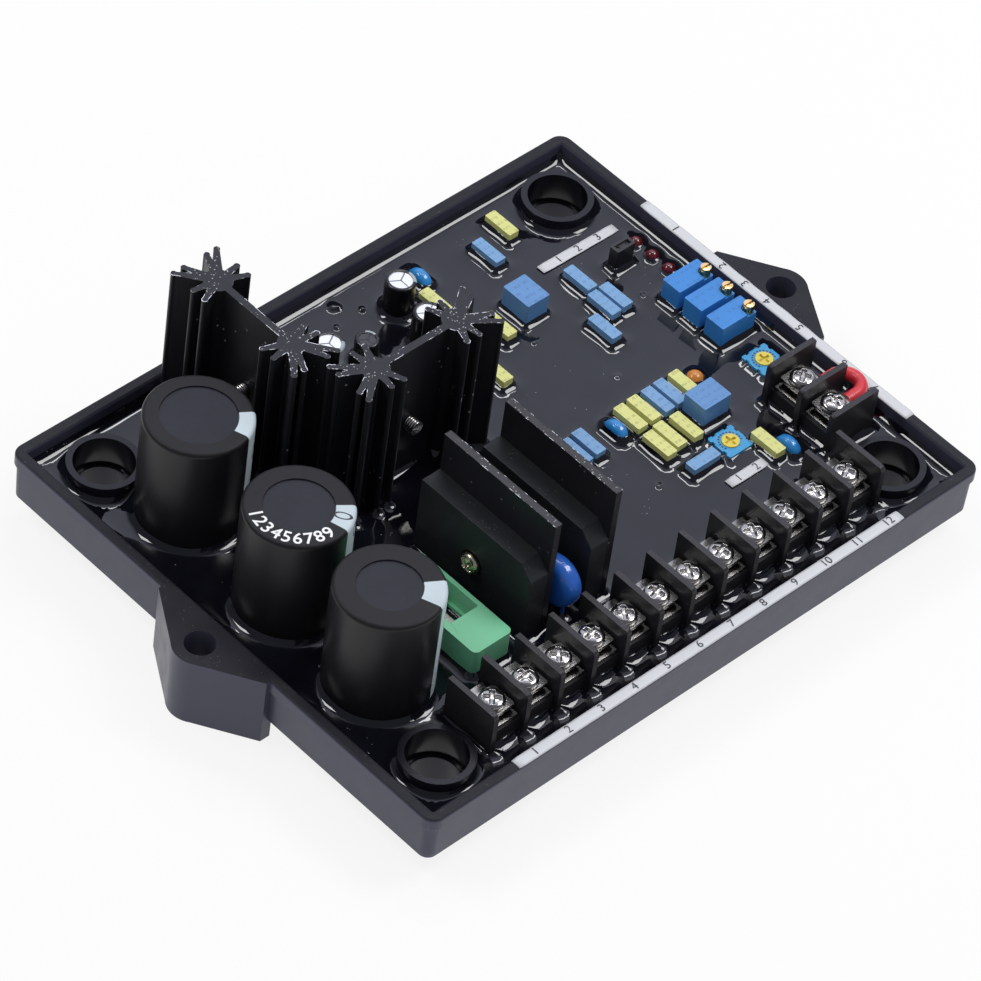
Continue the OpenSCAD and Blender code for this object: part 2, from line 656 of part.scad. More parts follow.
module fuse() color("#d8d8d2") translate([fuse_at.x, fuse_at.y, bz + trough_z + fuse_d / 2 + 0.4])
rotate([90, 0, 0]) {
    translate([0, 0, -fuse_len / 2]) cylinder(d = fuse_d, h = 5);
    translate([0, 0, fuse_len / 2 - 5]) cylinder(d = fuse_d, h = 5);
    cylinder(d = fuse_d - 0.4, h = fuse_len - 2, center = true);
}

// Barrier block with n poles along X, screws on the X axis, wires from -Y
module terminal_block(n) {
    len = n * pitch + barrier_t;
    difference() {
        union() {
            for (i = [0:n]) translate([i * pitch - len / 2, 0, bz]) rotate([90, 0, 90])
            linear_extrude(barrier_t) {
                translate([-barrier_front, 0]) square([barrier_front + barrier_back, barrier_h - 1]);
                translate([1 - barrier_front, 0]) square([barrier_front + barrier_back - 1, barrier_h]);
                translate([1 - barrier_front, barrier_h - 1]) circle(1);
            }
            translate([-len / 2, 0, bz]) rotate([90, 0, 90]) linear_extrude(len) {
                translate([pole_step - barrier_front, 0])
                    square([barrier_front + barrier_back - 2 * pole_step, pole_h]);
                translate([-barrier_front, 0]) square([barrier_front + barrier_back, resin_z - bz]);
            }
        }
        for (i = [0:n - 1]) translate([(i - (n - 1) / 2) * pitch, 0, head_z - screw_tip - 0.5])
            cylinder(d = term_screw_d + 0.4, h = screw_tip + 2);
    }
}

module terminal_block_main() color("#1d1d20") translate([main_c.x, main_c.y, 0]) terminal_block(main_poles);
module terminal_block_side() color("#1d1d20") translate([side_c.x, side_c.y, 0]) rotate(-90)
    terminal_block(side_poles);

// Children at every terminal screw, turned so that wires come from -Y
module at_terminals() {
    for (p = main_screws) translate([p.x, p.y, 0]) children();
    for (p = side_screws) translate([p.x, p.y, 0]) rotate(-90) children();
}

// Contact plate on a pole floor, with its own reach behind the screw
module contact_plate(behind) difference() {
    ahead = barrier_front - pole_step - 0.3;
    translate([-plate_w / 2, -ahead, plate_z]) cube([plate_w, ahead + behind, plate_t]);
    translate([0, 0, plate_z - 1]) cylinder(d = term_screw_d + 2 * fit, h = plate_t + 2);
}

module contact_plates() color("#b7b8ba") {
    for (p = main_screws) translate([p.x, p.y, 0]) contact_plate(barrier_back - pole_step - 0.3);
    // The link wire's insulation ends behind the side block's plates
    for (p = side_screws) translate([p.x, p.y, 0]) rotate(-90) contact_plate(wire_end - 0.15);
}

module clamp_washers() color("#c3c4c6") at_terminals() difference() {
    translate([0, 0, washer_z]) linear_extrude(washer_t) rrect(plate_w, plate_w * 0.94, 0.5);
    translate([0, 0, washer_z - 1]) cylinder(d = term_screw_d + 2 * fit, h = washer_t + 2);
}

module terminal_screws() color("#cfcfcf") at_terminals() translate([0, 0, head_z])
    pan_screw(term_head_d, term_head_h, term_screw_d, screw_tip);

// Link wire: an insulated bend round the end of the middle barrier, its bare ends clamped beside the screws
module link_wire() color("#c8202c") translate([side_c.x, side_c.y, 0]) {
    r = (wire_hug + pitch / 2) / 2;
    low = plate_z + plate_t + core_d / 2 + fit;
    translate([wire_x, wire_hug - r, wire_z]) rotate(-90) rotate_extrude(angle = 180)
        translate([r, 0]) circle(d = wire_d);
    for (y = [wire_hug, -pitch / 2]) translate([wire_x, y, wire_z]) rotate([0, -90, 0])
        cylinder(d = wire_d, h = wire_x - wire_end);
    // Bare strand of the leg beside the barrier: straight along its screw
    translate([wire_end + 0.2, pitch / 2 - wire_side, low]) rotate([0, -90, 0])
        cylinder(d = core_d, h = wire_end + 1.4);
    // Bare strand of the other leg: a short slanting run, then straight along its screw
    step = [wire_end - 1.4, wire_side, low - wire_z];
    translate([wire_end + 0.2, -pitch / 2, wire_z]) mirror([0, 1, 0]) {
        rotate([0, 0, atan2(step.y, -step.x)]) rotate([0, 90 + atan2(-step.z, norm([step.x, step.y])), 0])
            cylinder(d = core_d, h = norm(step));
        translate([-step.x, step.y, step.z]) {
            sphere(d = core_d);
            rotate([0, -90, 0]) cylinder(d = core_d, h = 2.8);
        }
    }
}

// Multi-turn trimmer: box with a stepped corner where its screw stands
module trimmer_body(i) color("#2f62b8") translate([trim_at[i].x, trim_at[i].y, bz]) difference() {
    linear_extrude(trim_h) rrect(trim_l, trim_w, 0.25);
    translate([trim_off.x, trim_off.y, trim_h - 0.8]) linear_extrude(1) union() {
        circle(trim_screw_d / 2 + 0.35);
        translate([0, -trim_w]) square([trim_l, trim_w]);
        translate([0, -trim_w]) square([trim_l, trim_w + trim_screw_d / 2 + 0.35]);
        translate([-trim_screw_d / 2 - 0.35, -trim_w]) square([trim_l, trim_w]);
    }
    translate([trim_off.x, trim_off.y, trim_h - trim_deep])
        cylinder(d = trim_screw_d + 2 * run, h = trim_deep + 1);
}
module trimmer_body_1() trimmer_body(0);
module trimmer_body_2() trimmer_body(1);
module trimmer_body_3() trimmer_body(2);

module trimmer_screw(i) color("#c79a55")
    translate([trim_at[i].x + trim_off.x, trim_at[i].y + trim_off.y, bz + trim_h - trim_deep + 0.3])
    difference() {
        cylinder(d = trim_screw_d, h = trim_deep - 0.3 + head_up - 0.2);
        translate([0, 0, trim_deep - 0.3 + head_up - 0.2]) cube([trim_screw_d + 1, 0.5, 1.2], center = true);
    }
module trimmer_screw_1() trimmer_screw(0);
module trimmer_screw_2() trimmer_screw(1);
module trimmer_screw_3() trimmer_screw(2);

// Rotary trimmer: notched square with a round well for its rotor
module rotary_body(i) color("#4f9bd6") translate([rotary_at[i].x, rotary_at[i].y, bz]) difference() {
    linear_extrude(rotary_h) rrect(rotary_w, rotary_w, 0.4);
    for (a = [0, 90, 180], y = [-1, 1]) rotate(a) translate([rotary_w / 2, y * rotary_w / 4, resin_z - bz])
        linear_extrude(rotary_h) square([0.7, 0.9], center = true);
    translate([0, 0, rotary_h - 1.2]) cylinder(d = rotor_d + 2 * run, h = 2);
    translate([0, 0, rotary_h - 3.5]) cylinder(d = rotor_d / 2 + 2 * run, h = 4);
}
module rotary_body_1() rotary_body(0);
module rotary_body_2() rotary_body(1);

module rotor(i) color("#e3b93a") translate([rotary_at[i].x, rotary_at[i].y, bz + rotary_h]) difference() {
    union() {
        translate([0, 0, -0.9]) cylinder(d = rotor_d, h = 0.9 + rotor_up);
        translate([0, 0, -3.2]) cylinder(d = rotor_d / 2, h = 2.4);
    }
    for (a = [0, 90]) rotate(a) translate([0, 0, rotor_up]) cube([rotor_d * 0.72, 0.6, 1.2], center = true);
}
module rotor_1() rotor(0);
module rotor_2() rotor(1);

module indicator_lamps() color("#5a1218") for (p = led_at) translate([p.x, p.y, bz]) {
    cylinder(d = led_d + led_flange, h = 1);
    cylinder(d = led_d, h = led_h - led_d / 2);
    translate([0, 0, led_h - led_d / 2]) sphere(d = led_d);
}

module jumper_header() color("#18181a") translate([jumper_at.x, jumper_at.y, bz]) {
    linear_extrude(4) square(jumper_size, center = true);
    for (x = [-1, 1]) translate([x * 1.27, 0, 5.2]) cube([0.64, 0.64, 8], center = true);
}

module jumper_cap() color("#141416") translate([jumper_at.x, jumper_at.y, bz + 4.05]) difference() {
    linear_extrude(5.6) rrect(4.9, 2.4, 0.3);
    for (x = [-1, 1]) translate([x * 1.27, 0, 1.4]) cube([0.84, 0.84, 8], center = true);
    translate([0, 0, 5.6]) cube([3.6, 1.2, 0.8], center = true);
}

// Moulded box
module film_box(p, s, h) {
    translate([p.x, p.y, bz]) linear_extrude(h) rrect(s.x, s.y, 0.25);
}

module yellow_film_capacitors() color("#d9d36a") for (p = yellow_at) film_box(p, [film_t, film_l], film_h);
module blue_film_capacitors() color("#5f96cf") {
    for (p = blue_at) film_box(p, [film_t, film_l], film_h);
    film_box(blue_cross_at, [film_l, film_t], film_h);
}
module large_film_capacitor_1() color("#4679c4") film_box(big_at[0], big_size[0], big_film_h);
module large_film_capacitor_2() color("#4679c4") film_box(big_at[1], big_size[1], big_film_h);

module disc_capacitors() color("#2f7fc8") for (p = disc_at) translate([p.x, p.y, disc_z])
    standing_disc(disc_d, disc_t);
module bead_capacitor() color("#c98132") translate([bead_at.x, bead_at.y, bz]) {
    translate([0, 0, bead_d / 2 + 2]) sphere(d = bead_d);
    cylinder(d = bead_d * 0.7, h = bead_d / 2 + 2);
}

tray();
potting_resin();
circuit_board();
main_capacitor_1();
main_capacitor_2();
main_capacitor_3();
star_heat_sink_1();
star_heat_sink_2();
power_transistor_1();
power_transistor_2();
transistor_screws();
cooling_plate_1();
cooling_plate_2();
bridge_rectifier_1();
bridge_rectifier_2();
rectifier_screws();
varistor();
fuse_base();
fuse_cover();
fuse_clips();
fuse();
terminal_block_main();
terminal_block_side();
contact_plates();
clamp_washers();
terminal_screws();
link_wire();
trimmer_body_1();
trimmer_body_2();
trimmer_body_3();
trimmer_screw_1();
trimmer_screw_2();
trimmer_screw_3();
rotary_body_1();
rotary_body_2();
rotor_1();
rotor_2();
indicator_lamps();
jumper_header();
jumper_cap();
yellow_film_capacitors();
blue_film_capacitors();
large_film_capacitor_1();
large_film_capacitor_2();
disc_capacitors();
bead_capacitor();
small_electrolytic_1();
small_electrolytic_2();
small_electrolytic_3();
small_electrolytic_4();
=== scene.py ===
"""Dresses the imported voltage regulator: resin surface, finishes, label strips, screw heads and a plain studio."""
import json
import math
from functools import cached_property

import bpy
import numpy as np
from mathutils import Matrix, Vector


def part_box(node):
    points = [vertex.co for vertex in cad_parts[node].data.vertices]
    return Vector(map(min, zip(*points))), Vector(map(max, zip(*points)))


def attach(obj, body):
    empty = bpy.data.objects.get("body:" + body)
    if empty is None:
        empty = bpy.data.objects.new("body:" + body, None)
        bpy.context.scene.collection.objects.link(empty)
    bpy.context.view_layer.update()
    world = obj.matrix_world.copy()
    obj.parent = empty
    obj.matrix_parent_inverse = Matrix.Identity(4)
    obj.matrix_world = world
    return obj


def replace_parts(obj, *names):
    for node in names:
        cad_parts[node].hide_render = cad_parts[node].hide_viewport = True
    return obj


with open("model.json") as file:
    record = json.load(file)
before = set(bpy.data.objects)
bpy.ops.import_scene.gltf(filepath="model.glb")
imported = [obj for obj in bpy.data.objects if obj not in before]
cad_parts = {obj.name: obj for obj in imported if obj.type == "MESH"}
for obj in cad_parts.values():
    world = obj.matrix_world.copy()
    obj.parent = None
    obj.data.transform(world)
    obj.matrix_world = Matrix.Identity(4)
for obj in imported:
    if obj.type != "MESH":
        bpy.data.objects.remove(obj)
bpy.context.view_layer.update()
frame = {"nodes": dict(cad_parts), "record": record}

bl_info = {
    "name": "Voltage Regulator Finish",
    "version": (1, 0, 0),
    "blender": (4, 5, 0),
    "location": "View3D > Sidebar > Regulator",
    "description": "Resin surface, finishes, label strips and studio for a potted voltage regulator",
    "category": "Object",
}

MM = 0.001
MAIN = "regulator"
TURN = 2 * math.pi
UP = Vector((0, 0, 1))
BOSS = 7.35  # outer radius of the tray's corner bosses, in millimetres
FRONT_ROW = -40.0  # y between the screws of the long terminal block and of the side block, in millimetres


# ---------------------------------------------------------------- shader building


def step(operation, flipped=False):
    """Method that adds one math node to a signal; flipped puts the signal itself last."""

    def method(self, *others):
        values = (*others, self) if flipped else (self, *others)
        return self.finish.node("ShaderNodeMath", {"operation": operation}, dict(enumerate(values)))

    return method


class Signal:
    """Shader socket that takes part in Python expressions."""

    def __init__(self, finish, socket):
        self.finish, self.socket = finish, socket

    __add__ = __radd__ = step("ADD")
    __mul__ = __rmul__ = step("MULTIPLY")
    __sub__, __rsub__ = step("SUBTRACT"), step("SUBTRACT", flipped=True)
    __truediv__, __pow__, __mod__ = step("DIVIDE"), step("POWER"), step("FLOORED_MODULO")
    __abs__, __gt__, __lt__ = step("ABSOLUTE"), step("GREATER_THAN"), step("LESS_THAN")
    least, most, sine = step("MINIMUM"), step("MAXIMUM"), step("SINE")


class Finish:
    """Procedural material, or world, built from nodes."""

    def __init__(self, name, owner=None):
        self.owner = owner or bpy.data.materials.new(name)
        self.owner.use_nodes = True
        self.tree = self.owner.node_tree
        self.tree.nodes.clear()

    def node(self, kind, settings=None, sockets=None, out=0):
        """Adds one node: its settings first, then the values or links of its sockets."""
        made = self.tree.nodes.new(kind)
        for key, value in (settings or {}).items():
            setattr(made, key, value)
        for key, value in (sockets or {}).items():
            if isinstance(value, Signal):
                self.tree.links.new(value.socket, made.inputs[key])
            else:
                made.inputs[key].default_value = value
        return Signal(self, made.outputs[out]) if made.outputs else None

    @cached_property
    def at(self):
        """Place on the part."""
        return self.node("ShaderNodeTexCoord", out="Object")

    def split(self, vector):
        first = self.node("ShaderNodeSeparateXYZ", None, {0: vector})
        return [Signal(self, socket) for socket in first.socket.node.outputs]

    def noise(self, scale, detail=2.0, stretch=None):
        at = self.at
        if stretch:
            at = self.node("ShaderNodeVectorMath", {"operation": "MULTIPLY"}, {0: at, 1: stretch})
        return self.node("ShaderNodeTexNoise", None, {"Vector": at, "Scale": scale, "Detail": detail})

    def ramp(self, value, low, high):
        return self.node("ShaderNodeMapRange", {"interpolation_type": "SMOOTHSTEP"}, {0: value, 1: low, 2: high})

    def mix(self, factor, first, second):
        sockets = {0: factor, 6: rgba(first), 7: rgba(second)}
        return self.node("ShaderNodeMix", {"data_type": "RGBA"}, sockets, out=2)

    def shade(self, factor, colour, low, high=1.0):
        """One colour, from a darker to a lighter shade of itself."""
        return self.mix(factor, tint(colour, low), tint(colour, high))

    def bump(self, height, distance):
        return self.node("ShaderNodeBump", None, {"Distance": distance, "Height": height})

    def upward(self):
        """Upward part of the surface normal, from -1 to 1."""
        return self.split(self.node("ShaderNodeNewGeometry", out="Normal"))[2]

    def specks(self, scale, size, share):
        """Mask of scattered round specks."""
        thin = self.noise(scale * 0.21, 1.0) > 1.0 - share
        return (self.node("ShaderNodeTexVoronoi", None, {"Vector": self.at, "Scale": scale}) < size) * thin

    def surface(self, colour, rough, normal=None, metal=0.0, coat=0.0, **fixed):
        sockets = {"Base Color": rgba(colour), "Roughness": rough, "Metallic": metal, "Coat Weight": coat}
        if normal is not None:
            sockets["Normal"] = normal
        sockets.update({key.replace("_", " "): value for key, value in fixed.items()})
        shader = self.node("ShaderNodeBsdfPrincipled", None, sockets)
        self.node("ShaderNodeOutputMaterial", None, {"Surface": shader})
        return self.owner


def rgba(colour):
    return colour if isinstance(colour, Signal) else (*colour[:3], 1.0)


def tint(colour, gain):
    return [min(1.0, part * gain) for part in colour[:3]]


def hypot(u, v):
    return (u * u + v * v) ** 0.5


def turned(first, second, angle):
    """What lies at an angle from the first of two directions, or offsets, towards the second."""
    return first * math.cos(angle) + second * math.sin(angle)


# ---------------------------------------------------------------- finishes, with lengths in metres


CLOUD, GRAIN = 130.0, 3600.0  # noise scales of a moulding's slow tone and of its fine grain
DUST, DUST_SPECKS = (0.55, 0.55, 0.56), (1500.0, 0.16, 0.42)


def moulded(name, colour, rough=0.4, spread=0.14, grain=0.00002, dust=0.1, level=0.5):
    """Moulded plastic: cloudy tone, fine grain, handling marks and a little dust on top."""
    f = Finish(name)
    base = f.shade(f.noise(CLOUD, 3.0), colour, 1 - spread, 1 + spread)
    settled = f.specks(*DUST_SPECKS) * f.ramp(f.upward(), 0.5, 0.9) * dust
    gloss = rough + (f.noise(260.0, 4.0) - 0.5) * 0.22 + settled * 0.3
    normal = f.bump(f.noise(GRAIN), grain)
    return f.surface(f.mix(settled, base, DUST), gloss, normal, Specular_IOR_Level=level)


def tray_finish(name, colour, boss, reach):
    """Tray moulding: painted shade that draws the tops far darker than the walls, dust on the tops, and corner
    bosses that the resin has wetted.
    """
    f = Finish(name)
    x, y, _ = f.split(f.at)
    away = hypot(abs(x) - boss[0], abs(y) - boss[1])
    wet = f.ramp(away, reach + 0.0004, reach - 0.0001) * f.ramp(away, reach - 0.0022, reach - 0.0018)
    cloud = f.noise(CLOUD, 3.0)
    top = f.ramp(f.upward(), 0.4, 0.9)
    # Painted shade: the top mask turns the walls' tone into a far darker one on the tops; the same mask also places
    # the dust and the rougher gloss on top.
    base = f.mix(top, f.shade(cloud, colour, 0.9, 1.14), f.shade(cloud, colour, 0.13, 0.21))
    settled = f.specks(*DUST_SPECKS) * top * (1 - wet) * 0.12
    base = f.mix(settled, f.mix(wet, base, tint(colour, 0.125)), DUST)
    gloss = 0.36 + top * 0.24 + (f.noise(260.0, 4.0) - 0.5) * 0.2
    normal = f.bump(f.noise(GRAIN) * (1 - wet), 0.00003)
    return f.surface(base, gloss * (1 - wet) + wet * 0.18, normal, Specular_IOR_Level=0.34)


def worn_edge(name, colour, bright, share):
    """Sawn edge of a black extrusion, with nicks where the bare aluminium shows."""
    f = Finish(name)
    nick = f.ramp(f.noise(620.0, 3.0), 0.96 - share, 1.04 - share)
    return f.surface(f.mix(nick, colour, bright), 0.42 - nick * 0.16, metal=nick)


def metal(name, colour, rough=0.2, stain=(0.2, 0.17, 0.13), share=0.25, brush=(1.0, 1.0, 1.0)):
    """Bare or plated metal with drawn lines, uneven gloss and thin stains."""
    f = Finish(name)
    lines = f.noise(2400.0, 3.0, brush)
    cloud = f.noise(420.0, 4.0)
    dull = f.ramp(f.noise(900.0, 3.0), 0.58, 0.74) * share
    base = f.mix(dull, f.shade(cloud, colour, 0.86, 1.08), stain)
    gloss = rough + (cloud - 0.5) * 0.16 + (lines - 0.5) * 0.1 + dull * 0.3
    return f.surface(base, gloss, f.bump(lines, 0.00001), metal=1.0)


def boxed(name, colour, ink, rough=0.34, pitch=0.0017):
    """Moulded capacitor box: satin skin with faint dashes of print on its top, in rows of the given pitch."""
    f = Finish(name)
    rows = (f.split(f.at)[1] * (TURN / pitch)).sine() > 0.35
    dashes = rows * (f.noise(2100.0, 1.0, (1.0, 0.25, 0.0)) > 0.53)
    print_mask = dashes * f.ramp(f.upward(), 0.9, 0.97) * 0.3
    base = f.mix(print_mask, f.shade(f.noise(190.0, 3.0), colour, 0.9, 1.1), ink)
    gloss = rough + (f.noise(500.0, 3.0) - 0.5) * 0.2
    return f.surface(base, gloss, f.bump(f.noise(3000.0), 0.000018))


def dipped(name, colour, rough):
    """Dipped coating with a soft orange-peel surface."""
    f = Finish(name)
    peel = f.noise(700.0)
    base = f.shade(f.noise(240.0, 3.0), colour, 0.82, 1.15)
    return f.surface(base, rough + (peel - 0.5) * 0.12, f.bump(peel, 0.00006), coat=0.35, Coat_Roughness=0.08)


def resin_finish(name, colour):
    """Glossy cast resin with a slow ripple, haze and a few motes of dust."""
    f = Finish(name)
    motes = f.specks(900.0, 0.1, 0.36)
    haze = f.ramp(f.noise(90.0, 3.0), 0.4, 0.75)
    base = f.mix(motes * 0.5, f.shade(haze, colour, 1.0, 1.7), (0.4, 0.4, 0.42))
    ripple = f.bump(f.noise(55.0), 0.00012)
    return f.surface(base, 0.03 + haze * 0.05 + motes * 0.4, ripple, IOR=1.52)


def sleeve_finish(name, centre, radius, land, top, heading, phase, colour, stripe):
    """Shrink sleeve of a large can: pale polarity stripe, turned-in collar and the bare disc inside it."""
    f = Finish(name)
    x, y, z = f.split(f.at)
    dx, dy = x - centre[0], y - centre[1]
    away = hypot(dx, dy)
    along = turned(dx, dy, heading) / away
    across = turned(dy, dx, -heading)
    collar = f.ramp(away, land - 0.00012, land + 0.00012)
    band = f.ramp(along, math.cos(0.335), math.cos(0.315)) * collar
    # Generic minus marks: long rounded outlines down the stripe and one over the collar
    pitch, start, half_wide, half_long = 0.0095, 0.0028, 0.0009, 0.0019
    drop = (top - 0.0002 - z).most(0.0)
    turn = (radius - away).most(0.0)
    run = (drop + turn + phase) % pitch - start
    ring = hypot(across / half_wide, run / half_long)
    mark = f.ramp(abs(ring - 0.85), 0.2, 0.1) * band
    grain = f.noise(900.0, 3.0)
    cloud = f.noise(110.0, 3.0)
    disc = f.mix(grain, (0.012, 0.013, 0.02), (0.018, 0.02, 0.031))
    skin = f.mix(collar, disc, f.shade(cloud, colour, 0.75, 1.3))
    skin = f.mix(band, skin, f.shade(cloud, stripe, 0.72))
    skin = f.mix(mark, skin, (0.03, 0.032, 0.04))
    gloss = 0.38 + f.ramp(f.upward(), 0.6, 0.95) * 0.18 + (cloud - 0.5) * 0.14
    # Shrink creases run down from the rim of the collar
    crease = f.noise(620.0, 2.0, (1.0, 1.0, 0.05))
    return f.surface(skin, gloss, f.bump(crease * 0.6 + grain * 0.4, 0.00003), Specular_IOR_Level=0.3)


def can_finish(name, centre, land, heading, colour, stripe, plate):
    """Sleeve of a small can: stripe, collar and a bright scored top."""
    f = Finish(name)
    x, y, _ = f.split(f.at)
    dx, dy = x - centre[0], y - centre[1]
    away = hypot(dx, dy) + 1e-6
    along = turned(dx, dy, heading) / away
    disc = f.ramp(away, land + 0.00008, land - 0.00008) * (f.upward() > 0.5)
    band = f.ramp(along, math.cos(0.55), math.cos(0.5)) * (1 - disc)
    score = 0.0
    for spoke in (0.5, 2.6, 4.7):
        side = abs(turned(dy, dx, -spoke))
        score = f.ramp(side, 0.00016, 0.00006) * (turned(dx, dy, spoke) > 0.0) + score
    cloud = f.noise(300.0, 3.0)
    skin = f.mix(band, f.shade(cloud, colour, 0.7, 1.3), stripe)
    skin = f.mix(disc, skin, f.shade(cloud, plate, 0.85))
    skin = f.mix(score.least(1.0) * disc * 0.8, skin, (0.05, 0.05, 0.06))
    gloss = 0.24 + disc * 0.12 + (cloud - 0.5) * 0.1
    return f.surface(skin, gloss, f.bump(cloud * 0.2 - score * disc, 0.00008), metal=disc * 0.55)


def anodised(name, colour, flecks, pale=(0.025, 0.026, 0.034)):
    """Black anodised extrusion: die lines up its sides, paler sawn ends, bright flecks, and painted glints as
    bright specks on the sawn ends.
    """
    f = Finish(name)
    lines = f.noise(2300.0, 3.0, (1.0, 1.0, 0.012))
    cloud = f.noise(120.0, 3.0)
    sawn = f.ramp(f.upward(), 0.55, 0.9)
    saw = f.noise(2600.0, 3.0, (1.0, 0.2, 1.0))
    drops = f.specks(620.0, 0.13, 0.4) * flecks
    # Painted highlight: bright grey specks on the sawn ends stand in for glints of the bare metal.
    painted_glint_specks = f.specks(1500.0, 0.22, 0.5) * sawn * 0.7
    base = f.shade(cloud * 0.6 + lines * 0.4, colour, 0.6, 1.5)
    base = f.mix(sawn * (saw * 0.6 + 0.5).least(1.0), base, pale)
    # The flecks of resin and dust and the painted glint specks are laid on in the same pale grey.
    base = f.mix((drops + painted_glint_specks).least(1.0), base, (0.5, 0.51, 0.53))
    gloss = 0.4 + (cloud - 0.5) * 0.2 - drops * 0.25
    return f.surface(base, gloss, f.bump(lines, 0.000025), Specular_IOR_Level=0.24)


def fuse_finish(name, middle, reach, tube, cap):
    """Cartridge fuse: pale tube with rows of plain marks between two metal caps."""
    f = Finish(name)
    along = f.split(f.at)[1] - middle
    ends = f.ramp(abs(along), reach - 0.0001, reach + 0.0001)
    rows = ((along * 2600.0).sine() > 0.1) * (f.noise(2400.0, 1.0, (1.0, 0.3, 1.0)) > 0.5)
    cloud = f.noise(500.0, 3.0)
    marked = f.mix(rows * 0.55, f.shade(cloud, tube, 0.85), (0.12, 0.12, 0.13))
    base = f.mix(ends, marked, f.shade(cloud, cap, 0.8))
    return f.surface(base, 0.22 + (cloud - 0.5) * 0.2, f.bump(cloud, 0.00003), metal=ends)


def dial_finish(name, centre, colour, count=14, first=-20, spacing=17, ring=0.00235):
    """Body of a rotary trimmer with a ring of small dark dots round its well."""
    f = Finish(name)
    x, y, _ = f.split(f.at)
    dots = 0.0
    for number in range(count):
        angle = math.radians(first + number * spacing)
        u = x - (centre[0] + ring * math.cos(angle))
        v = y - (centre[1] + ring * math.sin(angle))
        dots = f.ramp(hypot(u, v), 0.00026, 0.00018) + dots
    cloud = f.noise(400.0, 3.0)
    dotted = dots.least(1.0) * f.ramp(f.upward(), 0.7, 0.95)
    base = f.mix(dotted, f.shade(cloud, colour, 0.88, 1.12), (0.012, 0.02, 0.03))
    return f.surface(base, 0.3 + (cloud - 0.5) * 0.2, f.bump(f.noise(3000.0), 0.00002))


def wire_finish(name, colour, edge):
    """Insulation, with the bare strands where the wire leaves it near the screws."""
    f = Finish(name)
    bare = f.ramp(f.split(f.at)[0], edge + 0.00005, edge - 0.00005)
    cloud = f.noise(300.0, 3.0)
    base = f.mix(bare, f.shade(cloud, colour, 0.85, 1.1), (0.75, 0.62, 0.5))
    return f.surface(base, 0.3 + (cloud - 0.5) * 0.2, f.bump(f.noise(1500.0), 0.00003), metal=bare)


def lamp_finish(name, dark, light):
    """Tinted lamp dome under a clear gloss."""
    f = Finish(name)
    depth = f.noise(600.0)
    return f.surface(f.mix(depth, dark, light), 0.08 + depth * 0.08, coat=0.6, Coat_Roughness=0.04)


def paper(name, colour):
    """Printed label strip: matt film with faint fibres and soiled patches."""
    f = Finish(name)
    fibre = f.noise(2600.0, 3.0, (1.0, 2.2, 1.0))
    soil = f.ramp(f.noise(150.0, 4.0), 0.5, 0.85) * 0.22
    base = f.mix(soil, f.shade(fibre, colour, 0.94), (0.45, 0.45, 0.48))
    return f.surface(base, 0.42 + (fibre - 0.5) * 0.2, f.bump(fibre, 0.00001))


def ink(name):
    """Black print, worn thin in places."""
    f = Finish(name)
    worn = f.noise(2600.0, 3.0)
    base = f.mix(f.ramp(worn, 0.62, 0.8), (0.012, 0.012, 0.016), (0.16, 0.16, 0.18))
    return f.surface(base, 0.45 + (worn - 0.5) * 0.2)


# ---------------------------------------------------------------- mesh building, in millimetres


class Shape:
    """Vertices and faces that are gathered and turned into one piece."""

    def __init__(self):
        self.points, self.faces = [], []

    def add(self, points, faces):
        start = len(self.points)
        self.points += [tuple(p) for p in points]
        self.faces += [tuple(i + start for i in face) for face in faces]

    def piece(self, name, finish, body=MAIN, smooth=True):
        mesh = bpy.data.meshes.new(name)
        mesh.from_pydata([Vector(p) * MM for p in self.points], [], self.faces)
        mesh.polygons.foreach_set("use_smooth", [smooth] * len(mesh.polygons))
        mesh.materials.append(finish)
        made = bpy.data.objects.new(name, mesh)
        bpy.context.scene.collection.objects.link(made)
        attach(made, body)
        return made


def node_mesh(node):
    """Vertices and triangles of a CAD node."""
    mesh = frame["nodes"][node].data
    points = np.empty(len(mesh.vertices) * 3)
    mesh.vertices.foreach_get("co", points)
    mesh.calc_loop_triangles()
    corners = np.empty(len(mesh.loop_triangles) * 3, dtype=int)
    mesh.loop_triangles.foreach_get("vertices", corners)
    return points.reshape(-1, 3) / MM, corners.reshape(-1, 3)


def cut_segments(node, height):
    """Both ends of every short line where a node's triangles cross a level."""
    points, corners = node_mesh(node)
    tri = points[corners]
    above = tri[:, :, 2] > height
    crossing = above.any(axis=1) & ~above.all(axis=1)
    tri, above = tri[crossing], above[crossing]
    lone = np.where(above.sum(axis=1) == 1, above.argmax(axis=1), (~above).argmax(axis=1))
    index = np.arange(len(tri))
    apex = tri[index, lone]
    ends = []
    for offset in (1, 2):
        other = tri[index, (lone + offset) % 3]
        share = ((height - apex[:, 2]) / (other[:, 2] - apex[:, 2]))[:, None]
        ends.append((apex + (other - apex) * share)[:, :2])
    return ends


def top_outline(node):
    """Steps round a node's flat top, each as its two ends with the outward directions there."""
    points, corners = node_mesh(node)
    tri = points[corners]
    flat = (tri[:, :, 2] > points[:, 2].max() - 0.01).all(axis=1)
    edges = set()
    for face in tri[flat].round(3):
        names = [tuple(corner) for corner in face]
        for a, b in zip(names, names[1:] + names[:1]):
            if (b, a) in edges:
                edges.remove((b, a))
            else:
                edges.add((a, b))
    outward = {}
    for a, b in edges:
        side = Vector((b[1] - a[1], a[0] - b[0], 0)).normalized()
        for end in (a, b):
            outward[end] = outward.get(end, Vector()) + side
    return [(Vector(a), Vector(b), outward[a].normalized(), outward[b].normalized()) for a, b in sorted(edges)]


def box_mm(node):
    low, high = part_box(node)
    return np.array(low) / MM, np.array(high) / MM


def centre_mm(node):
    low, high = box_mm(node)
    return (low + high) / 2


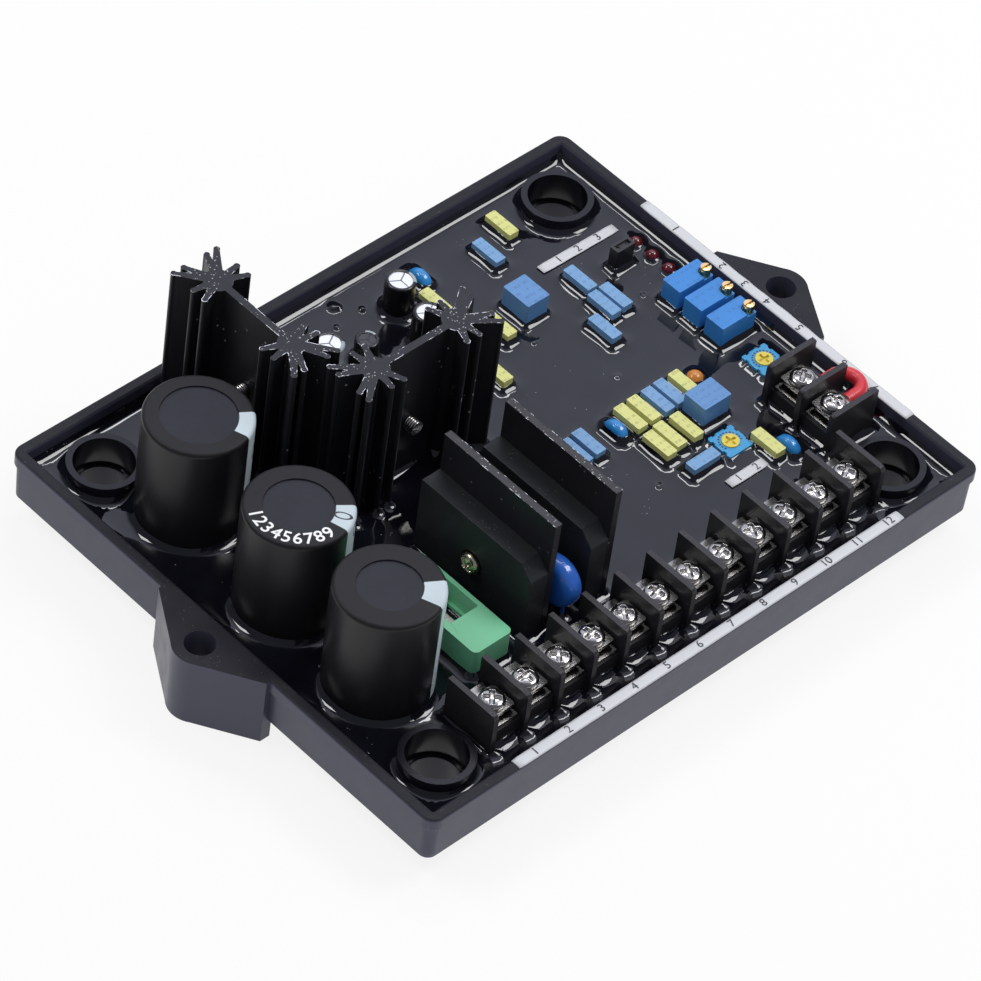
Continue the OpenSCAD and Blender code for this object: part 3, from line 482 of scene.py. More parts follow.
def upright(node):
    """Middle, radius and top of an upright can, in metres."""
    low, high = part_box(node)
    return (low + high) / 2, (high.x - low.x) / 2, high.z


def wells():
    """Middles of the tray's four corner wells."""
    mounts = [mount for mount in frame["record"]["mounts"] if mount["name"].startswith("bush_well")]
    return [[part / MM for part in mount["pos_m"]] for mount in mounts]


def solids(node):
    """Lowest and highest corner of each separate solid of a node."""
    points, corners = node_mesh(node)
    _, same = np.unique(points.round(4), axis=0, return_inverse=True)
    same = same.ravel()
    label = np.arange(same.max() + 1)
    faces = same[corners]
    while True:
        least = label[faces].min(axis=1)
        new = label.copy()
        for column in range(3):
            np.minimum.at(new, faces[:, column], least)
        if (new == label).all():
            break
        label = new
    owner = label[same]
    groups = [points[owner == key] for key in np.unique(owner)]
    return [(group.min(axis=0), group.max(axis=0)) for group in groups]


def middles(node):
    return [(low + high) / 2 for low, high in solids(node)]


def dress(node, finish, bevel=0.0):
    """Gives a CAD node its finish and, where it has hard edges, a fine worn edge."""
    part = frame["nodes"][node]
    if not part.material_slots:
        part.data.materials.append(finish)
    for place in part.material_slots:
        place.material = finish
    if bevel:
        part.modifiers.new("Join", "WELD").merge_threshold = 0.000002
        edge = part.modifiers.new("Edge", "BEVEL")
        edge.width = bevel * MM
        edge.segments = 2
        edge.limit_method = "ANGLE"
        edge.angle_limit = math.radians(38)
        edge.use_clamp_overlap = True
        part.modifiers.new("Shade", "WEIGHTED_NORMAL").weight = 60


def crown(u, v, share):
    """Height of a pan head over its seat, as a share of its whole height, at u, v in radii of the head."""
    arm_half, arm_reach, slope = 0.173, 0.654, 0.077
    dome = 0.42 + 0.58 * (1 - share ** 2.3) ** (1 / 2.3)
    arm = max(min(arm_half - abs(u), arm_reach - abs(v)), min(arm_half - abs(v), arm_reach - abs(u)))
    sunk = min(1.0, max(0.0, arm / slope + 0.3))
    return dome - 0.56 * sunk * sunk * (3 - 2 * sunk) * (1 - 0.4 * share)


def pan_screws(name, node, axis, sizes, finish, rings=26, steps=72):
    """Pan-head screws with a tapered cross recess in place of a node's plain ones, each turned as a hand left it.

    The axis points out of the heads, and the sizes are the head's radius, its height and the shank's radius.
    """
    head, tall, shank = sizes
    chamfer, turn = 0.3, 2.4  # at the tip, and from one head to the next
    side = axis.orthogonal().normalized()
    across = axis.cross(side)
    shape = Shape()
    for number, (low, high) in enumerate(sorted(solids(node), key=lambda corners: tuple(corners[0]))):
        middle = Vector((low + high) / 2)
        reach = abs(axis.dot(Vector(high - low))) / 2
        seat, tip = reach - tall, -reach
        # Radius and level of each ring; the crown gives the level where there is none
        profile = [(math.sin(TURN / 4 * k / rings) * head, None) for k in range(1, rings + 1)]
        profile += [(head, seat), (shank, seat), (shank, tip + chamfer), (shank - chamfer, tip)]
        points = [middle + axis * (seat + tall * crown(0, 0, 0))]
        for radius, level in profile:
            for i in range(steps):
                angle = TURN * i / steps
                share, own = radius / head, angle - turn * number
                rise = level
                if rise is None:
                    rise = seat + tall * crown(share * math.cos(own), share * math.sin(own), share)
                points.append(middle + axis * rise + turned(side, across, angle) * radius)
        faces = [(0, 1 + i, 1 + (i + 1) % steps) for i in range(steps)]
        faces += quads(len(profile), steps, first=1, closed=True)
        faces.append(tuple(reversed(range(len(points) - steps, len(points)))))
        shape.add(points, faces)
    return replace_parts(shape.piece(name, finish), node)


def quads(rows, columns, first=0, closed=False):
    """Faces of a grid of points that stand row by row, from the first one."""
    faces = []
    for row in range(first, first + (rows - 1) * columns, columns):
        for i in range(columns if closed else columns - 1):
            a, b = row + i, row + (i + 1) % columns
            faces.append((a, a + columns, b + columns, b))
    return faces


def written(text, size, weight=0.0):
    """Flat outline of a short text, as points round its middle and faces."""
    curve = bpy.data.curves.new("written", "FONT")
    curve.body, curve.size, curve.offset, curve.resolution_u = text, size, weight, 3
    curve.align_x, curve.align_y = "CENTER", "CENTER"
    holder = bpy.data.objects.new("written", curve)
    bpy.context.scene.collection.objects.link(holder)
    mesh = bpy.data.meshes.new_from_object(holder.evaluated_get(bpy.context.evaluated_depsgraph_get()))
    points = [tuple(v.co) for v in mesh.vertices]
    faces = [tuple(p.vertices) for p in mesh.polygons]
    bpy.data.objects.remove(holder)
    bpy.data.curves.remove(curve)
    bpy.data.meshes.remove(mesh)
    return points, faces


# ---------------------------------------------------------------- settings


def number_prop(name, description, default, **limits):
    return bpy.props.FloatProperty(name=name, description=description, default=default, **limits)


def length_prop(name, description, default_mm):
    return number_prop(name, description, default_mm * MM, unit="LENGTH", precision=5)


def angle_prop(name, description, degrees):
    return number_prop(name, description, math.radians(degrees), subtype="ANGLE")


def colour_prop(name, description, default):
    return bpy.props.FloatVectorProperty(
        name=name, description=description, default=default, size=3, min=0.0, max=1.0, subtype="COLOR"
    )


class RegulatorFinishes(bpy.types.PropertyGroup):
    """Colours of the regulator's finishes"""

    tray: colour_prop("Tray", "Moulded tray and its ears", (0.048, 0.0495, 0.081))
    resin: colour_prop("Resin", "Cast resin", (0.004, 0.0043, 0.0075))
    sleeve: colour_prop("Sleeve", "Sleeves of the large cans", (0.008, 0.008, 0.01))
    stripe: colour_prop("Stripe", "Polarity stripes", (0.62, 0.72, 0.8))
    sink: colour_prop("Heat Sink", "Anodised heat sinks and cooling plates", (0.011, 0.0115, 0.015))
    epoxy: colour_prop("Epoxy", "Moulded rectifiers and transistors", (0.013, 0.0145, 0.017))
    holder: colour_prop("Fuse Holder", "Fuse holder and its cover", (0.185, 0.57, 0.335))
    block: colour_prop("Terminal Block", "Terminal blocks", (0.017, 0.0165, 0.02))
    nickel: colour_prop("Nickel", "Terminal screws, plates and washers", (0.42, 0.405, 0.385))
    wire: colour_prop("Link Wire", "Insulation of the link wire", (0.62, 0.03, 0.045))
    trimmer: colour_prop("Trimmer", "Multi-turn trimmers", (0.037, 0.22, 0.62))
    brass: colour_prop("Brass", "Trimmer screws", (0.86, 0.6, 0.28))
    dial: colour_prop("Dial", "Rotary trimmers", (0.045, 0.3, 0.6))
    rotor: colour_prop("Rotor", "Rotors of the rotary trimmers", (0.72, 0.58, 0.085))
    yellow: colour_prop("Yellow Box", "Yellow box capacitors", (0.66, 0.67, 0.25))
    blue: colour_prop("Blue Box", "Small blue box capacitors", (0.17, 0.34, 0.6))
    deep_blue: colour_prop("Large Blue Box", "Large blue box capacitors", (0.11, 0.26, 0.55))
    label: colour_prop("Label", "Label strips", (0.62, 0.635, 0.68))


class RegulatorDetails(bpy.types.PropertyGroup):
    """Sizes of the details that are added to the solids"""

    part_rise: length_prop("Rise at Parts", "How far the resin climbs up a part", 1.15)
    part_reach: length_prop("Reach at Parts", "How far the climbed resin reaches from a part", 0.95)
    wall_rise: length_prop("Rise at Walls", "How far the resin climbs up the tray's walls", 1.5)
    wall_reach: length_prop("Reach at Walls", "How far the climbed resin reaches from a wall", 1.15)
    skin_step: length_prop("Resin Mesh", "Spacing of the resin surface's finest mesh", 0.27)
    label_width: length_prop("Label Width", "Width of the label strips", 2.5)
    figure_height: length_prop("Figure Height", "Height of the figures on the labels", 2.5)
    thread_pitch: length_prop("Thread Pitch", "Pitch of the transistor screws' thread", 0.5)


class RegulatorStudio(bpy.types.PropertyGroup):
    """Light and camera"""

    fill: number_prop("Fill", "Strength of the even light", 0.54, min=0.0)
    key: number_prop("Key", "Radiance of the softbox above", 11.0, min=0.0)
    rim: number_prop("Rim", "Radiance of the softbox behind", 12.0, min=0.0)
    strip: number_prop("Strip", "Radiance of the strip light above", 14.0, min=0.0)
    azimuth: angle_prop("Azimuth", "Camera's turn about Z", -49.5545)
    elevation: angle_prop("Elevation", "Camera's height angle", 46.1685)
    roll: angle_prop("Roll", "Camera's turn about its own axis", 8.6194)
    distance: length_prop("Distance", "Camera's distance from its target", 1172.61)
    lens: number_prop("Lens", "Focal length in millimetres", 224.213)
    target: bpy.props.FloatVectorProperty(
        name="Target", description="Point the camera looks at", default=(0.00189, 0.00293, 0.003579),
        subtype="TRANSLATION",
    )


# ---------------------------------------------------------------- pieces, with lengths in millimetres


class REGULATOR_OT_tray(bpy.types.Operator):
    """Finish the tray and the board under the resin"""

    bl_idname = "regulator.tray"
    bl_label = "Tray"

    def execute(self, context):
        use = context.scene.regulator_finishes
        boss = [abs(part) * MM for part in wells()[0]]
        dress("tray", tray_finish("tray_moulding", use.tray, boss, BOSS * MM), 0.18)
        dress("circuit_board", moulded("board_laminate", (0.02, 0.11, 0.05), rough=0.5))
        return {"FINISHED"}


class REGULATOR_OT_resin(bpy.types.Operator):
    """Lay the resin's surface, which climbs up the walls and every part that stands in it"""

    bl_idname = "regulator.resin"
    bl_label = "Resin"

    # Place, reach and height of each drop or low swelling
    bumps = (
        (5.0, 52.4, 1.35, 0.55), (5.9, 51.6, 0.7, 0.4), (9.2, 48.6, 0.8, 0.5), (1.9, 48.0, 0.75, 0.4),
        (-3.5, 51.0, 0.6, 0.3), (21.0, 30.6, 0.9, 0.35), (30.0, 21.5, 0.8, 0.3), (36.5, 4.8, 0.9, 0.28),
        (22.4, -21.2, 0.9, 0.3), (56.2, 17.8, 0.7, 0.3), (-44.0, 14.6, 0.8, 0.3), (8.6, 3.4, 0.8, 0.25),
    )
    block = 4  # fine cells along one side of a coarse one
    margin = 0.22  # how far the surface runs into the walls
    overlap = 0.12  # how far it runs into a part
    lift = 0.03  # height over the solid resin
    foot = 0.06  # height of the cut that finds the parts' feet
    boss_climb = 1.05, 0.8  # rise and reach at the corner bosses
    blend = 2.4  # power that joins climbs where they meet
    below_rim = 1.2  # least depth below the tray's rim
    detail = 1.5  # reach of the fine mesh round whatever the resin climbs
    deep = 0.3  # depth inside a part from which there is no mesh
    far = 9.0  # stands for no part near by

    def execute(self, context):
        use, size = context.scene.regulator_finishes, context.scene.regulator_details
        finish = resin_finish("cast_resin", use.resin)
        dress("potting_resin", finish)
        low, high = box_mm("potting_resin")
        level = high[2]
        coarse = size.skin_step / MM * self.block
        counts = [int((high[a] - low[a]) / coarse) * self.block + 1 for a in (0, 1)]
        xs, ys = (np.linspace(low[a] - self.margin, high[a] + self.margin, counts[a]) for a in (0, 1))
        x, y = np.meshgrid(xs, ys, indexing="ij")
        sides = np.minimum(x - low[0], high[0] - x)
        ends = np.minimum(y - low[1], high[1] - y)
        bosses = np.minimum.reduce([np.hypot(x - wx, y - wy) - BOSS for wx, wy, _ in wells()])
        feet = self.feet(xs, ys, level + self.foot)
        wall, rise = (size.wall_rise / MM, size.wall_reach / MM), size.part_rise / MM
        part = rise * (self.sway(x, y) * self.room(x, y, level, rise)), size.part_reach / MM
        climbs = [self.climb(distance, *wall) for distance in (sides, ends)]
        climbs += [self.climb(bosses, *self.boss_climb), self.climb(feet, *part)]
        height = sum(climb ** self.blend for climb in climbs) ** (1 / self.blend)
        near = np.minimum.reduce([sides, ends, bosses, feet])
        swell = np.full(x.shape, self.far)
        for bx, by, reach, tall in self.bumps:
            away = np.hypot(x - bx, y - by)
            height += tall * np.exp(-((away / reach) ** 2) * 1.4)
            swell = np.minimum(swell, away - 2 * reach)
        height += 0.02 * np.sin(0.21 * x + 0.6) * np.sin(0.17 * y + 1.1)
        height = np.minimum(height, box_mm("tray")[1][2] - self.below_rim - level)
        faces = self.faces(near, np.minimum(near - self.detail, swell) < 0)
        used = np.unique(np.concatenate([np.array(face) for face in faces]))
        place = np.full(x.size, -1)
        place[used] = np.arange(len(used))
        shape = Shape()
        points = np.column_stack([x.ravel(), y.ravel(), level + self.lift + height.ravel()])[used]
        shape.add(points, [place[face] for face in faces])
        shape.piece("resin_surface", finish)
        return {"FINISHED"}

    def sway(self, x, y):
        """Uneven share of the climb up the parts, with one wave at each pole of the long terminal block."""
        share = 1 + 0.16 * np.sin(0.5 * x + 1.7 * np.sin(0.21 * y)) * np.sin(0.4 * y + 1.3 * np.sin(0.3 * x))
        poles = sorted(px for px, py, _ in middles("terminal_screws") if py < FRONT_ROW)
        front = box_mm("terminal_block_main")[0][1]
        wave = np.cos(TURN * (x - poles[0] - 0.5 * (y - front)) / (poles[1] - poles[0]) + 0.8)
        return share * np.where(y < front + 1.0, 1 + 0.5 * wave, 1.0)

    def climb(self, distance, rise, reach):
        """Height of the resin at a distance from what it climbs; just inside that, the slope goes on."""
        return rise * (np.exp(-np.maximum(distance, 0.0) / reach) - np.clip(distance, -self.overlap, 0.0) / reach)

    def room(self, x, y, level, rise):
        """Share of the full climb at each grid point: less round a part whose top is low."""
        share, spread = np.ones(x.shape), 1.6
        for node in frame["nodes"]:
            if not level + 0.4 < box_mm(node)[1][2] < level + 1.6 * rise:
                continue
            for low, high in solids(node):
                middle, half = (low + high) / 2, (high - low) / 2
                beside = [np.maximum(np.abs(way - middle[a]) - half[a], 0) for a, way in enumerate((x, y))]
                least = min(0.5, max(0.1, (high[2] - level - 0.3) / (1.3 * rise)))
                share = np.minimum(share, 1 - np.clip(1 - np.hypot(*beside) / spread, 0, 1) * (1 - least))
        return share

    def feet(self, xs, ys, level):
        """Distance of each grid point from the nearest part's foot, negative inside the part."""
        away = np.full((len(xs), len(ys)), self.far)
        within = np.zeros(away.shape, dtype=bool)
        for node in frame["nodes"]:
            if node in ("tray", "potting_resin", "circuit_board") or box_mm(node)[0][2] > level:
                continue
            starts, ends = cut_segments(node, level)
            if not len(starts):
                continue
            left, right = np.minimum(starts[:, 0], ends[:, 0]), np.maximum(starts[:, 0], ends[:, 0])
            for i in np.flatnonzero((xs >= left.min()) & (xs <= right.max())):
                hit = (left <= xs[i]) & (right > xs[i])
                a, b = starts[hit], ends[hit]
                rows = np.sort(a[:, 1] + (b[:, 1] - a[:, 1]) * (xs[i] - a[:, 0]) / (b[:, 0] - a[:, 0]))
                within[i] |= np.searchsorted(rows, ys) % 2 == 1
            for a, b in zip(starts, ends):
                for share in np.linspace(0.0, 1.0, int(np.hypot(*(b - a)) / 0.1) + 2):
                    px, py = a + (b - a) * share
                    i, j = np.searchsorted(xs, (px - 3, px + 3)), np.searchsorted(ys, (py - 3, py + 3))
                    window = away[i[0]:i[1], j[0]:j[1]]
                    reach = np.hypot(xs[i[0]:i[1], None] - px, ys[None, j[0]:j[1]] - py)
                    np.minimum(window, reach, out=window)
        return np.where(within, -away, away)

    def faces(self, near, detailed):
        """Fine cells where the surface is detailed and coarse ones elsewhere, with none inside the parts."""
        n = self.block
        rows, columns = (near.shape[0] - 1) // n, (near.shape[1] - 1) // n

        def blocks(values):
            return values[:-1, :-1].reshape(rows, n, columns, n)

        buried = blocks(near).max(axis=(1, 3)) < -self.deep
        fine = blocks(detailed).any(axis=(1, 3)) & ~buried
        grid = np.arange(near.size).reshape(near.shape)
        faces = []
        for i, j in np.argwhere(~buried):
            part = grid[i * n:(i + 1) * n + 1, j * n:(j + 1) * n + 1]
            if fine[i, j]:
                corners = part[:-1, :-1], part[1:, :-1], part[1:, 1:], part[:-1, 1:]
                cells = np.stack(corners, axis=-1).reshape(-1, 4)
                faces += cells[(near.ravel()[cells] > -self.overlap).any(axis=1)].tolist()
                continue
            ring = []
            borders = (part[:, 0], part[-1], part[::-1, -1], part[0, ::-1])
            for border, (a, b) in zip(borders, ((i, j - 1), (i + 1, j), (i, j + 1), (i - 1, j))):
                split = 0 <= a < rows and 0 <= b < columns and fine[a, b]
                ring += border[:-1].tolist() if split else [border[0]]
            faces.append(ring)
        return faces


class REGULATOR_OT_large_cans(bpy.types.Operator):
    """Finish the three large electrolytic cans"""

    bl_idname = "regulator.large_cans"
    bl_label = "Large Cans"

    # Heading of the stripe, width of the collar and start of the minus marks, can by can
    sleeves = ((-52.0, 3.2, 5.5), (-56.0, 3.9, 0.4), (-50.0, 4.4, 5.5))

    def execute(self, context):
        use = context.scene.regulator_finishes
        for number, (heading, collar, phase) in enumerate(self.sleeves, 1):
            node = f"main_capacitor_{number}"
            middle, radius, top = upright(node)
            finish = sleeve_finish(
                f"large_sleeve_{number}", middle, radius, radius - collar * MM, top, math.radians(heading),
                phase * MM, use.sleeve, use.stripe,
            )
            dress(node, finish, 0.1)
        self.figures("main_capacitor_2", "123456789", reach=8.45, span=(-204.0, -92.0), tall=3.8)
        return {"FINISHED"}

    def figures(self, node, text, reach, span, tall):
        """Prints plain figures along the collar, their heads towards the can's axis."""
        x, y, _ = centre_mm(node)
        top = box_mm(node)[1][2] + 0.03
        marks = Shape()
        for i, letter in enumerate(text):
            angle = math.radians(span[0] + (span[1] - span[0]) * i / (len(text) - 1))
            out = Vector((math.cos(angle), math.sin(angle), 0))
            side = Vector((-out.y, out.x, 0))
            flat, ngons = written(letter, tall, 0.05)
            base = Vector((x, y, top)) + out * reach
            marks.add([base + side * p[0] - out * p[1] for p in flat], ngons)
        marks.piece("collar_figures", paper("collar_print", (0.85, 0.86, 0.88)), smooth=False)


class REGULATOR_OT_small_cans(bpy.types.Operator):
    """Finish the four small electrolytic cans"""

    bl_idname = "regulator.small_cans"
    bl_label = "Small Cans"

    bright, dark = (0.86, 0.87, 0.9), (0.06, 0.06, 0.066)
    # Heading of the stripe and tone of the top, can by can
    cans = ((-20.0, bright), (-100.0, bright), (-60.0, bright), (30.0, dark))
    collar = 0.75

    def execute(self, context):
        use = context.scene.regulator_finishes
        for number, (heading, plate) in enumerate(self.cans, 1):
            node = f"small_electrolytic_{number}"
            middle, radius, _ = upright(node)
            finish = can_finish(
                f"small_sleeve_{number}", middle, radius - self.collar * MM, math.radians(heading),
                use.sleeve, tint(use.stripe, 0.55), plate,
            )
            dress(node, finish, 0.06)
        return {"FINISHED"}


class REGULATOR_OT_heat_sinks(bpy.types.Operator):
    """Finish the star heat sinks and the cooling plates"""

    bl_idname = "regulator.heat_sinks"
    bl_label = "Heat Sinks"

    bare = (0.78, 0.78, 0.79)

    def execute(self, context):
        use = context.scene.regulator_finishes
        anodising = anodised("sink_anodising", use.sink, 0.55)
        paint = anodised("plate_paint", use.sink, 0.25, (0.05, 0.05, 0.056))
        kinds = (("sink", "star_heat_sink", anodising, 0.1, 0.43), ("plate", "cooling_plate", paint, 0.12, 0.42))
        for kind, stem, black, bevel, share in kinds:
            nodes = [f"{stem}_{number}" for number in (1, 2)]
            for node in nodes:
                dress(node, black, bevel)
            self.edges(f"{kind}_edges", nodes, worn_edge(f"{kind}_edge", use.sink, self.bare, share))
        return {"FINISHED"}

    def edges(self, name, nodes, finish, width=0.11, proud=0.02):
        """Lays a narrow worn strip over the sawn edge round each top."""
        shape = Shape()
        for node in nodes:
            for a, b, out_a, out_b in top_outline(node):
                points = []
                for point, out in ((a, out_a), (b, out_b)):
                    rim = point + out * proud + UP * proud
                    points += [rim - out * width, rim, rim - UP * width]
                shape.add(points, ((0, 1, 4, 3), (1, 2, 5, 4)))
        shape.piece(name, finish, smooth=False)


class REGULATOR_OT_power_parts(bpy.types.Operator):
    """Finish the rectifiers, transistors and varistor, and cut the thread of the transistor screws"""

    bl_idname = "regulator.power_parts"
    bl_label = "Power Parts"

    head = 2.3, 2.0, 1.5  # radius and height of a rectifier screw's head, and radius of its shank
    core, crest = 1.47, 1.62  # radii of the thread
    facets = 28  # steps round one turn of the thread
    fading = 10  # steps over which it fades at each end
    web = 0.8  # where it starts, from the middle of the web

    def execute(self, context):
        use, size = context.scene.regulator_finishes, context.scene.regulator_details
        epoxy = moulded("epoxy_moulding", use.epoxy, rough=0.5, grain=0.00006, dust=0.2, level=0.35)
        for number in (1, 2):
            dress(f"bridge_rectifier_{number}", epoxy, 0.2)
            dress(f"power_transistor_{number}", epoxy, 0.1)
        steel = metal("plated_steel", (0.72, 0.7, 0.67), 0.24)
        dress("transistor_screws", steel, 0.08)
        zinc = metal("yellow_zinc", (0.8, 0.74, 0.53), 0.24, stain=(0.5, 0.46, 0.3), share=0.3)
        left, front = Vector((-1, 0, 0)), Vector((0, -1, 0))
        pan_screws("rectifier_screw_heads", "rectifier_screws", left, self.head, zinc)
        dress("varistor", dipped("varistor_coat", (0.022, 0.13, 0.56), 0.22))
        thread = Shape()
        for axis, heading in enumerate((left, front)):
            middle = Vector(centre_mm(f"star_heat_sink_{axis + 1}"))
            low, high = min(solids("transistor_screws"), key=lambda s: math.dist(s[0][:2], middle[:2]))
            end = abs(low[axis] - middle[axis])
            middle.z = (low[2] + high[2]) / 2
            self.ridge(thread, middle, heading, end, size.thread_pitch / MM)
        thread.piece("screw_threads", steel)
        return {"FINISHED"}

    def ridge(self, shape, middle, heading, end, pitch):
        """Adds a helical ridge to the free end of a screw, from the web to just short of its tip."""
        side = UP.cross(heading)
        count = int((end - 0.1 - self.web) / pitch * self.facets)
        profile = ((self.core, -0.42), (self.crest, -0.08), (self.crest, 0.08), (self.core, 0.42))
        points = []
        for i in range(count + 1):
            angle = TURN * i / self.facets
            fade = min(1.0, i / self.fading, (count - i) / self.fading)
            out = turned(side, UP, angle)
            for radius, offset in profile:
                way = self.web + pitch * (i / self.facets) + offset * pitch
                points.append(middle + heading * way + out * (self.core + (radius - self.core) * fade))
        shape.add(points, [(a, d, c, b) for a, b, c, d in quads(count + 1, len(profile))])


class REGULATOR_OT_fuse_holder(bpy.types.Operator):
    """Finish the fuse holder, its cover and the fuse"""

    bl_idname = "regulator.fuse_holder"
    bl_label = "Fuse Holder"

    cap = 5.0  # length of a fuse cap

    def execute(self, context):
        use = context.scene.regulator_finishes
        green = moulded("holder_moulding", use.holder, rough=0.36, spread=0.08, dust=0.05)
        dress("fuse_cover", green, 0.3)
        dress("fuse_base", green, 0.1)
        dress("fuse_clips", metal("clip_tin", (0.72, 0.72, 0.7), 0.3))
        low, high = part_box("fuse")
        middle, reach = (low.y + high.y) / 2, (high.y - low.y) / 2 - self.cap * MM
        dress("fuse", fuse_finish("fuse_tube", middle, reach, (0.72, 0.71, 0.68), (0.8, 0.79, 0.77)), 0.08)
        return {"FINISHED"}


class REGULATOR_OT_terminals(bpy.types.Operator):
    """Finish the terminal blocks, their hardware and the link wire"""

    bl_idname = "regulator.terminals"
    bl_label = "Terminals"

    head = 2.6, 1.5, 1.5  # radius and height of a screw's head, and radius of its shank
    covered = 7.49  # length of the link wire's bend that is insulated

    def execute(self, context):
        use = context.scene.regulator_finishes
        black = moulded("block_moulding", use.block, grain=0.00004, dust=0.16, level=0.4)
        for node in ("terminal_block_main", "terminal_block_side"):
            dress(node, black, 0.14)
        bright = metal("bright_nickel", use.nickel, 0.16, stain=(0.25, 0.2, 0.15), share=0.35)
        satin = metal("satin_nickel", tint(use.nickel, 0.8), 0.24, share=0.5, brush=(1.0, 0.15, 1.0))
        pan_screws("terminal_screw_heads", "terminal_screws", UP, self.head, bright)
        dress("clamp_washers", satin, 0.1)
        dress("contact_plates", satin, 0.08)
        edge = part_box("link_wire")[1].x - self.covered * MM
        dress("link_wire", wire_finish("link_insulation", use.wire, edge))
        return {"FINISHED"}


class REGULATOR_OT_trimmers(bpy.types.Operator):
    """Finish the multi-turn and rotary trimmers"""

    bl_idname = "regulator.trimmers"
    bl_label = "Trimmers"

    def execute(self, context):
        use = context.scene.regulator_finishes
        blue = boxed("trimmer_moulding", use.trimmer, tint(use.trimmer, 0.45), 0.36)
        brass = metal("trimmer_brass", use.brass, 0.24, stain=(0.3, 0.16, 0.05))
        for number in (1, 2, 3):
            dress(f"trimmer_body_{number}", blue, 0.16)
            dress(f"trimmer_screw_{number}", brass, 0.08)
        yellow = moulded("rotor_moulding", use.rotor, rough=0.36, spread=0.1)
        for number in (1, 2):
            node = f"rotary_body_{number}"
            dress(node, dial_finish(f"dial_moulding_{number}", upright(node)[0], use.dial), 0.12)
            dress(f"rotor_{number}", yellow, 0.08)
        return {"FINISHED"}


class REGULATOR_OT_small_parts(bpy.types.Operator):
    """Finish the box, disc and bead capacitors, the lamps and the jumper"""

    bl_idname = "regulator.small_parts"
    bl_label = "Small Parts"

    def execute(self, context):
        use = context.scene.regulator_finishes
        dress("yellow_film_capacitors", boxed("yellow_box", use.yellow, (0.12, 0.12, 0.05)), 0.16)
        dress("blue_film_capacitors", boxed("blue_box", use.blue, (0.04, 0.08, 0.2)), 0.16)
        deep = boxed("large_blue_box", use.deep_blue, (0.03, 0.07, 0.2))
        for number in (1, 2):
            dress(f"large_film_capacitor_{number}", deep, 0.22)
        dress("disc_capacitors", dipped("disc_coat", (0.02, 0.22, 0.58), 0.2))
        dress("bead_capacitor", dipped("bead_coat", (0.55, 0.2, 0.03), 0.25))
        dress("indicator_lamps", lamp_finish("lamp_resin", (0.06, 0.003, 0.006), (0.13, 0.006, 0.01)))
        black = moulded("jumper_moulding", (0.012, 0.012, 0.013), rough=0.42, grain=0.00003)
        dress("jumper_header", black, 0.1)
        dress("jumper_cap", black, 0.15)
        return {"FINISHED"}


class REGULATOR_OT_labels(bpy.types.Operator):
    """Stick on the four label strips and print plain figures on them"""

    bl_idname = "regulator.labels"
    bl_label = "Labels"

    inset = 1.25  # from the tray's outer face, or from the resin, to the middle of a strip on the rim
    droop = 0.45  # how far the edges of a strip on the rim bend down
    narrow = 2.3  # width of a strip on the resin
    front_span, side_span = (-50.6, 50.8), (-40.6, 33.6)  # ends of the strips on the rim
    film, proud = 0.1, 0.2  # thickness of a strip, and height of its figures over what it lies on

    def execute(self, context):
        use, size = context.scene.regulator_finishes, context.scene.regulator_details
        self.sheet, self.black = paper("label_film", use.label), ink("label_ink")
        self.tall = size.figure_height / MM
        wide = size.label_width / MM
        tray, resin = box_mm("tray"), box_mm("potting_resin")
        rim, level = tray[1][2], resin[1][2]
        front, right = tray[0][1] + self.inset, resin[1][0] + self.inset
        screws = middles("terminal_screws")
        ahead, left = Vector((1, 0, 0)), Vector((0, 1, 0))
        poles = sorted(x for x, y, _ in screws if y < FRONT_ROW)
        figures = [(str(i), x) for i, x in enumerate(poles, 1)]
        self.strip("front_label", self.front_span, wide, figures, (0, front, rim), ahead, left, self.droop)
        # The side strip counts the middle lamp, the knobs and the side block's poles from back to front
        lamps = sorted((y for _, y, _ in middles("indicator_lamps")), reverse=True)
        knobs = [centre_mm(node)[1] for node in (*(f"trimmer_screw_{i}" for i in (1, 2, 3)), "rotary_body_2")]
        side = sorted((y for _, y, _ in screws if y > FRONT_ROW), reverse=True)
        figures = [(str(i), y) for i, y in enumerate([lamps[1], *knobs, *side], 1)]
        self.strip("side_label", self.side_span, wide, figures, (right, 0, rim), left, -ahead, self.droop)
        figures = [("1", 5.0), ("2", 10.2), ("3", 15.6)]
        skewed = Vector((1, -0.012, -0.004)).normalized()
        self.strip("frequency_label", (0, 20.4), self.narrow, figures, (44.6, 35.1, level + 0.2), skewed, left)
        figures = [("1", -2.4), ("2", 2.4)]
        self.strip("dial_label", (-5.2, 5.2), self.narrow, figures, (38.4, -29.3, level + 0.18), ahead, left)
        return {"FINISHED"}

    def strip(self, name, span, wide, figures, origin, along, across, droop=0.0):
        """One strip, its long edges bent down over a rounded rim by droop, and its figures."""
        origin = Vector(origin)
        rows = [(-1.0, 1.0), (-0.62, 0.12), (0.0, 0.0), (0.62, 0.12), (1.0, 1.0)]
        count = max(6, int((span[1] - span[0]) / 1.5))
        points = []
        for i in range(count + 1):
            s = span[0] + (span[1] - span[0]) * i / count
            half = wide / 2 * (0.91 if i in (0, count) else 1.0)
            lift = 0.14 + 0.02 * math.sin(1.7 * i)
            for v, drop in rows:
                points.append(origin + along * s + across * (v * half) + UP * (lift - drop * droop * 0.35))
        shape = Shape()
        shape.add(points, quads(count + 1, len(rows)))
        thick = shape.piece(name, self.sheet).modifiers.new("Film", "SOLIDIFY")
        thick.thickness, thick.offset = self.film * MM, -1.0
        marks = Shape()
        for text, s in figures:
            flat, ngons = written(text, self.tall)
            marks.add([origin + along * (s + p[0]) + across * p[1] + UP * self.proud for p in flat], ngons)
        marks.piece(name + "_figures", self.black, smooth=False)


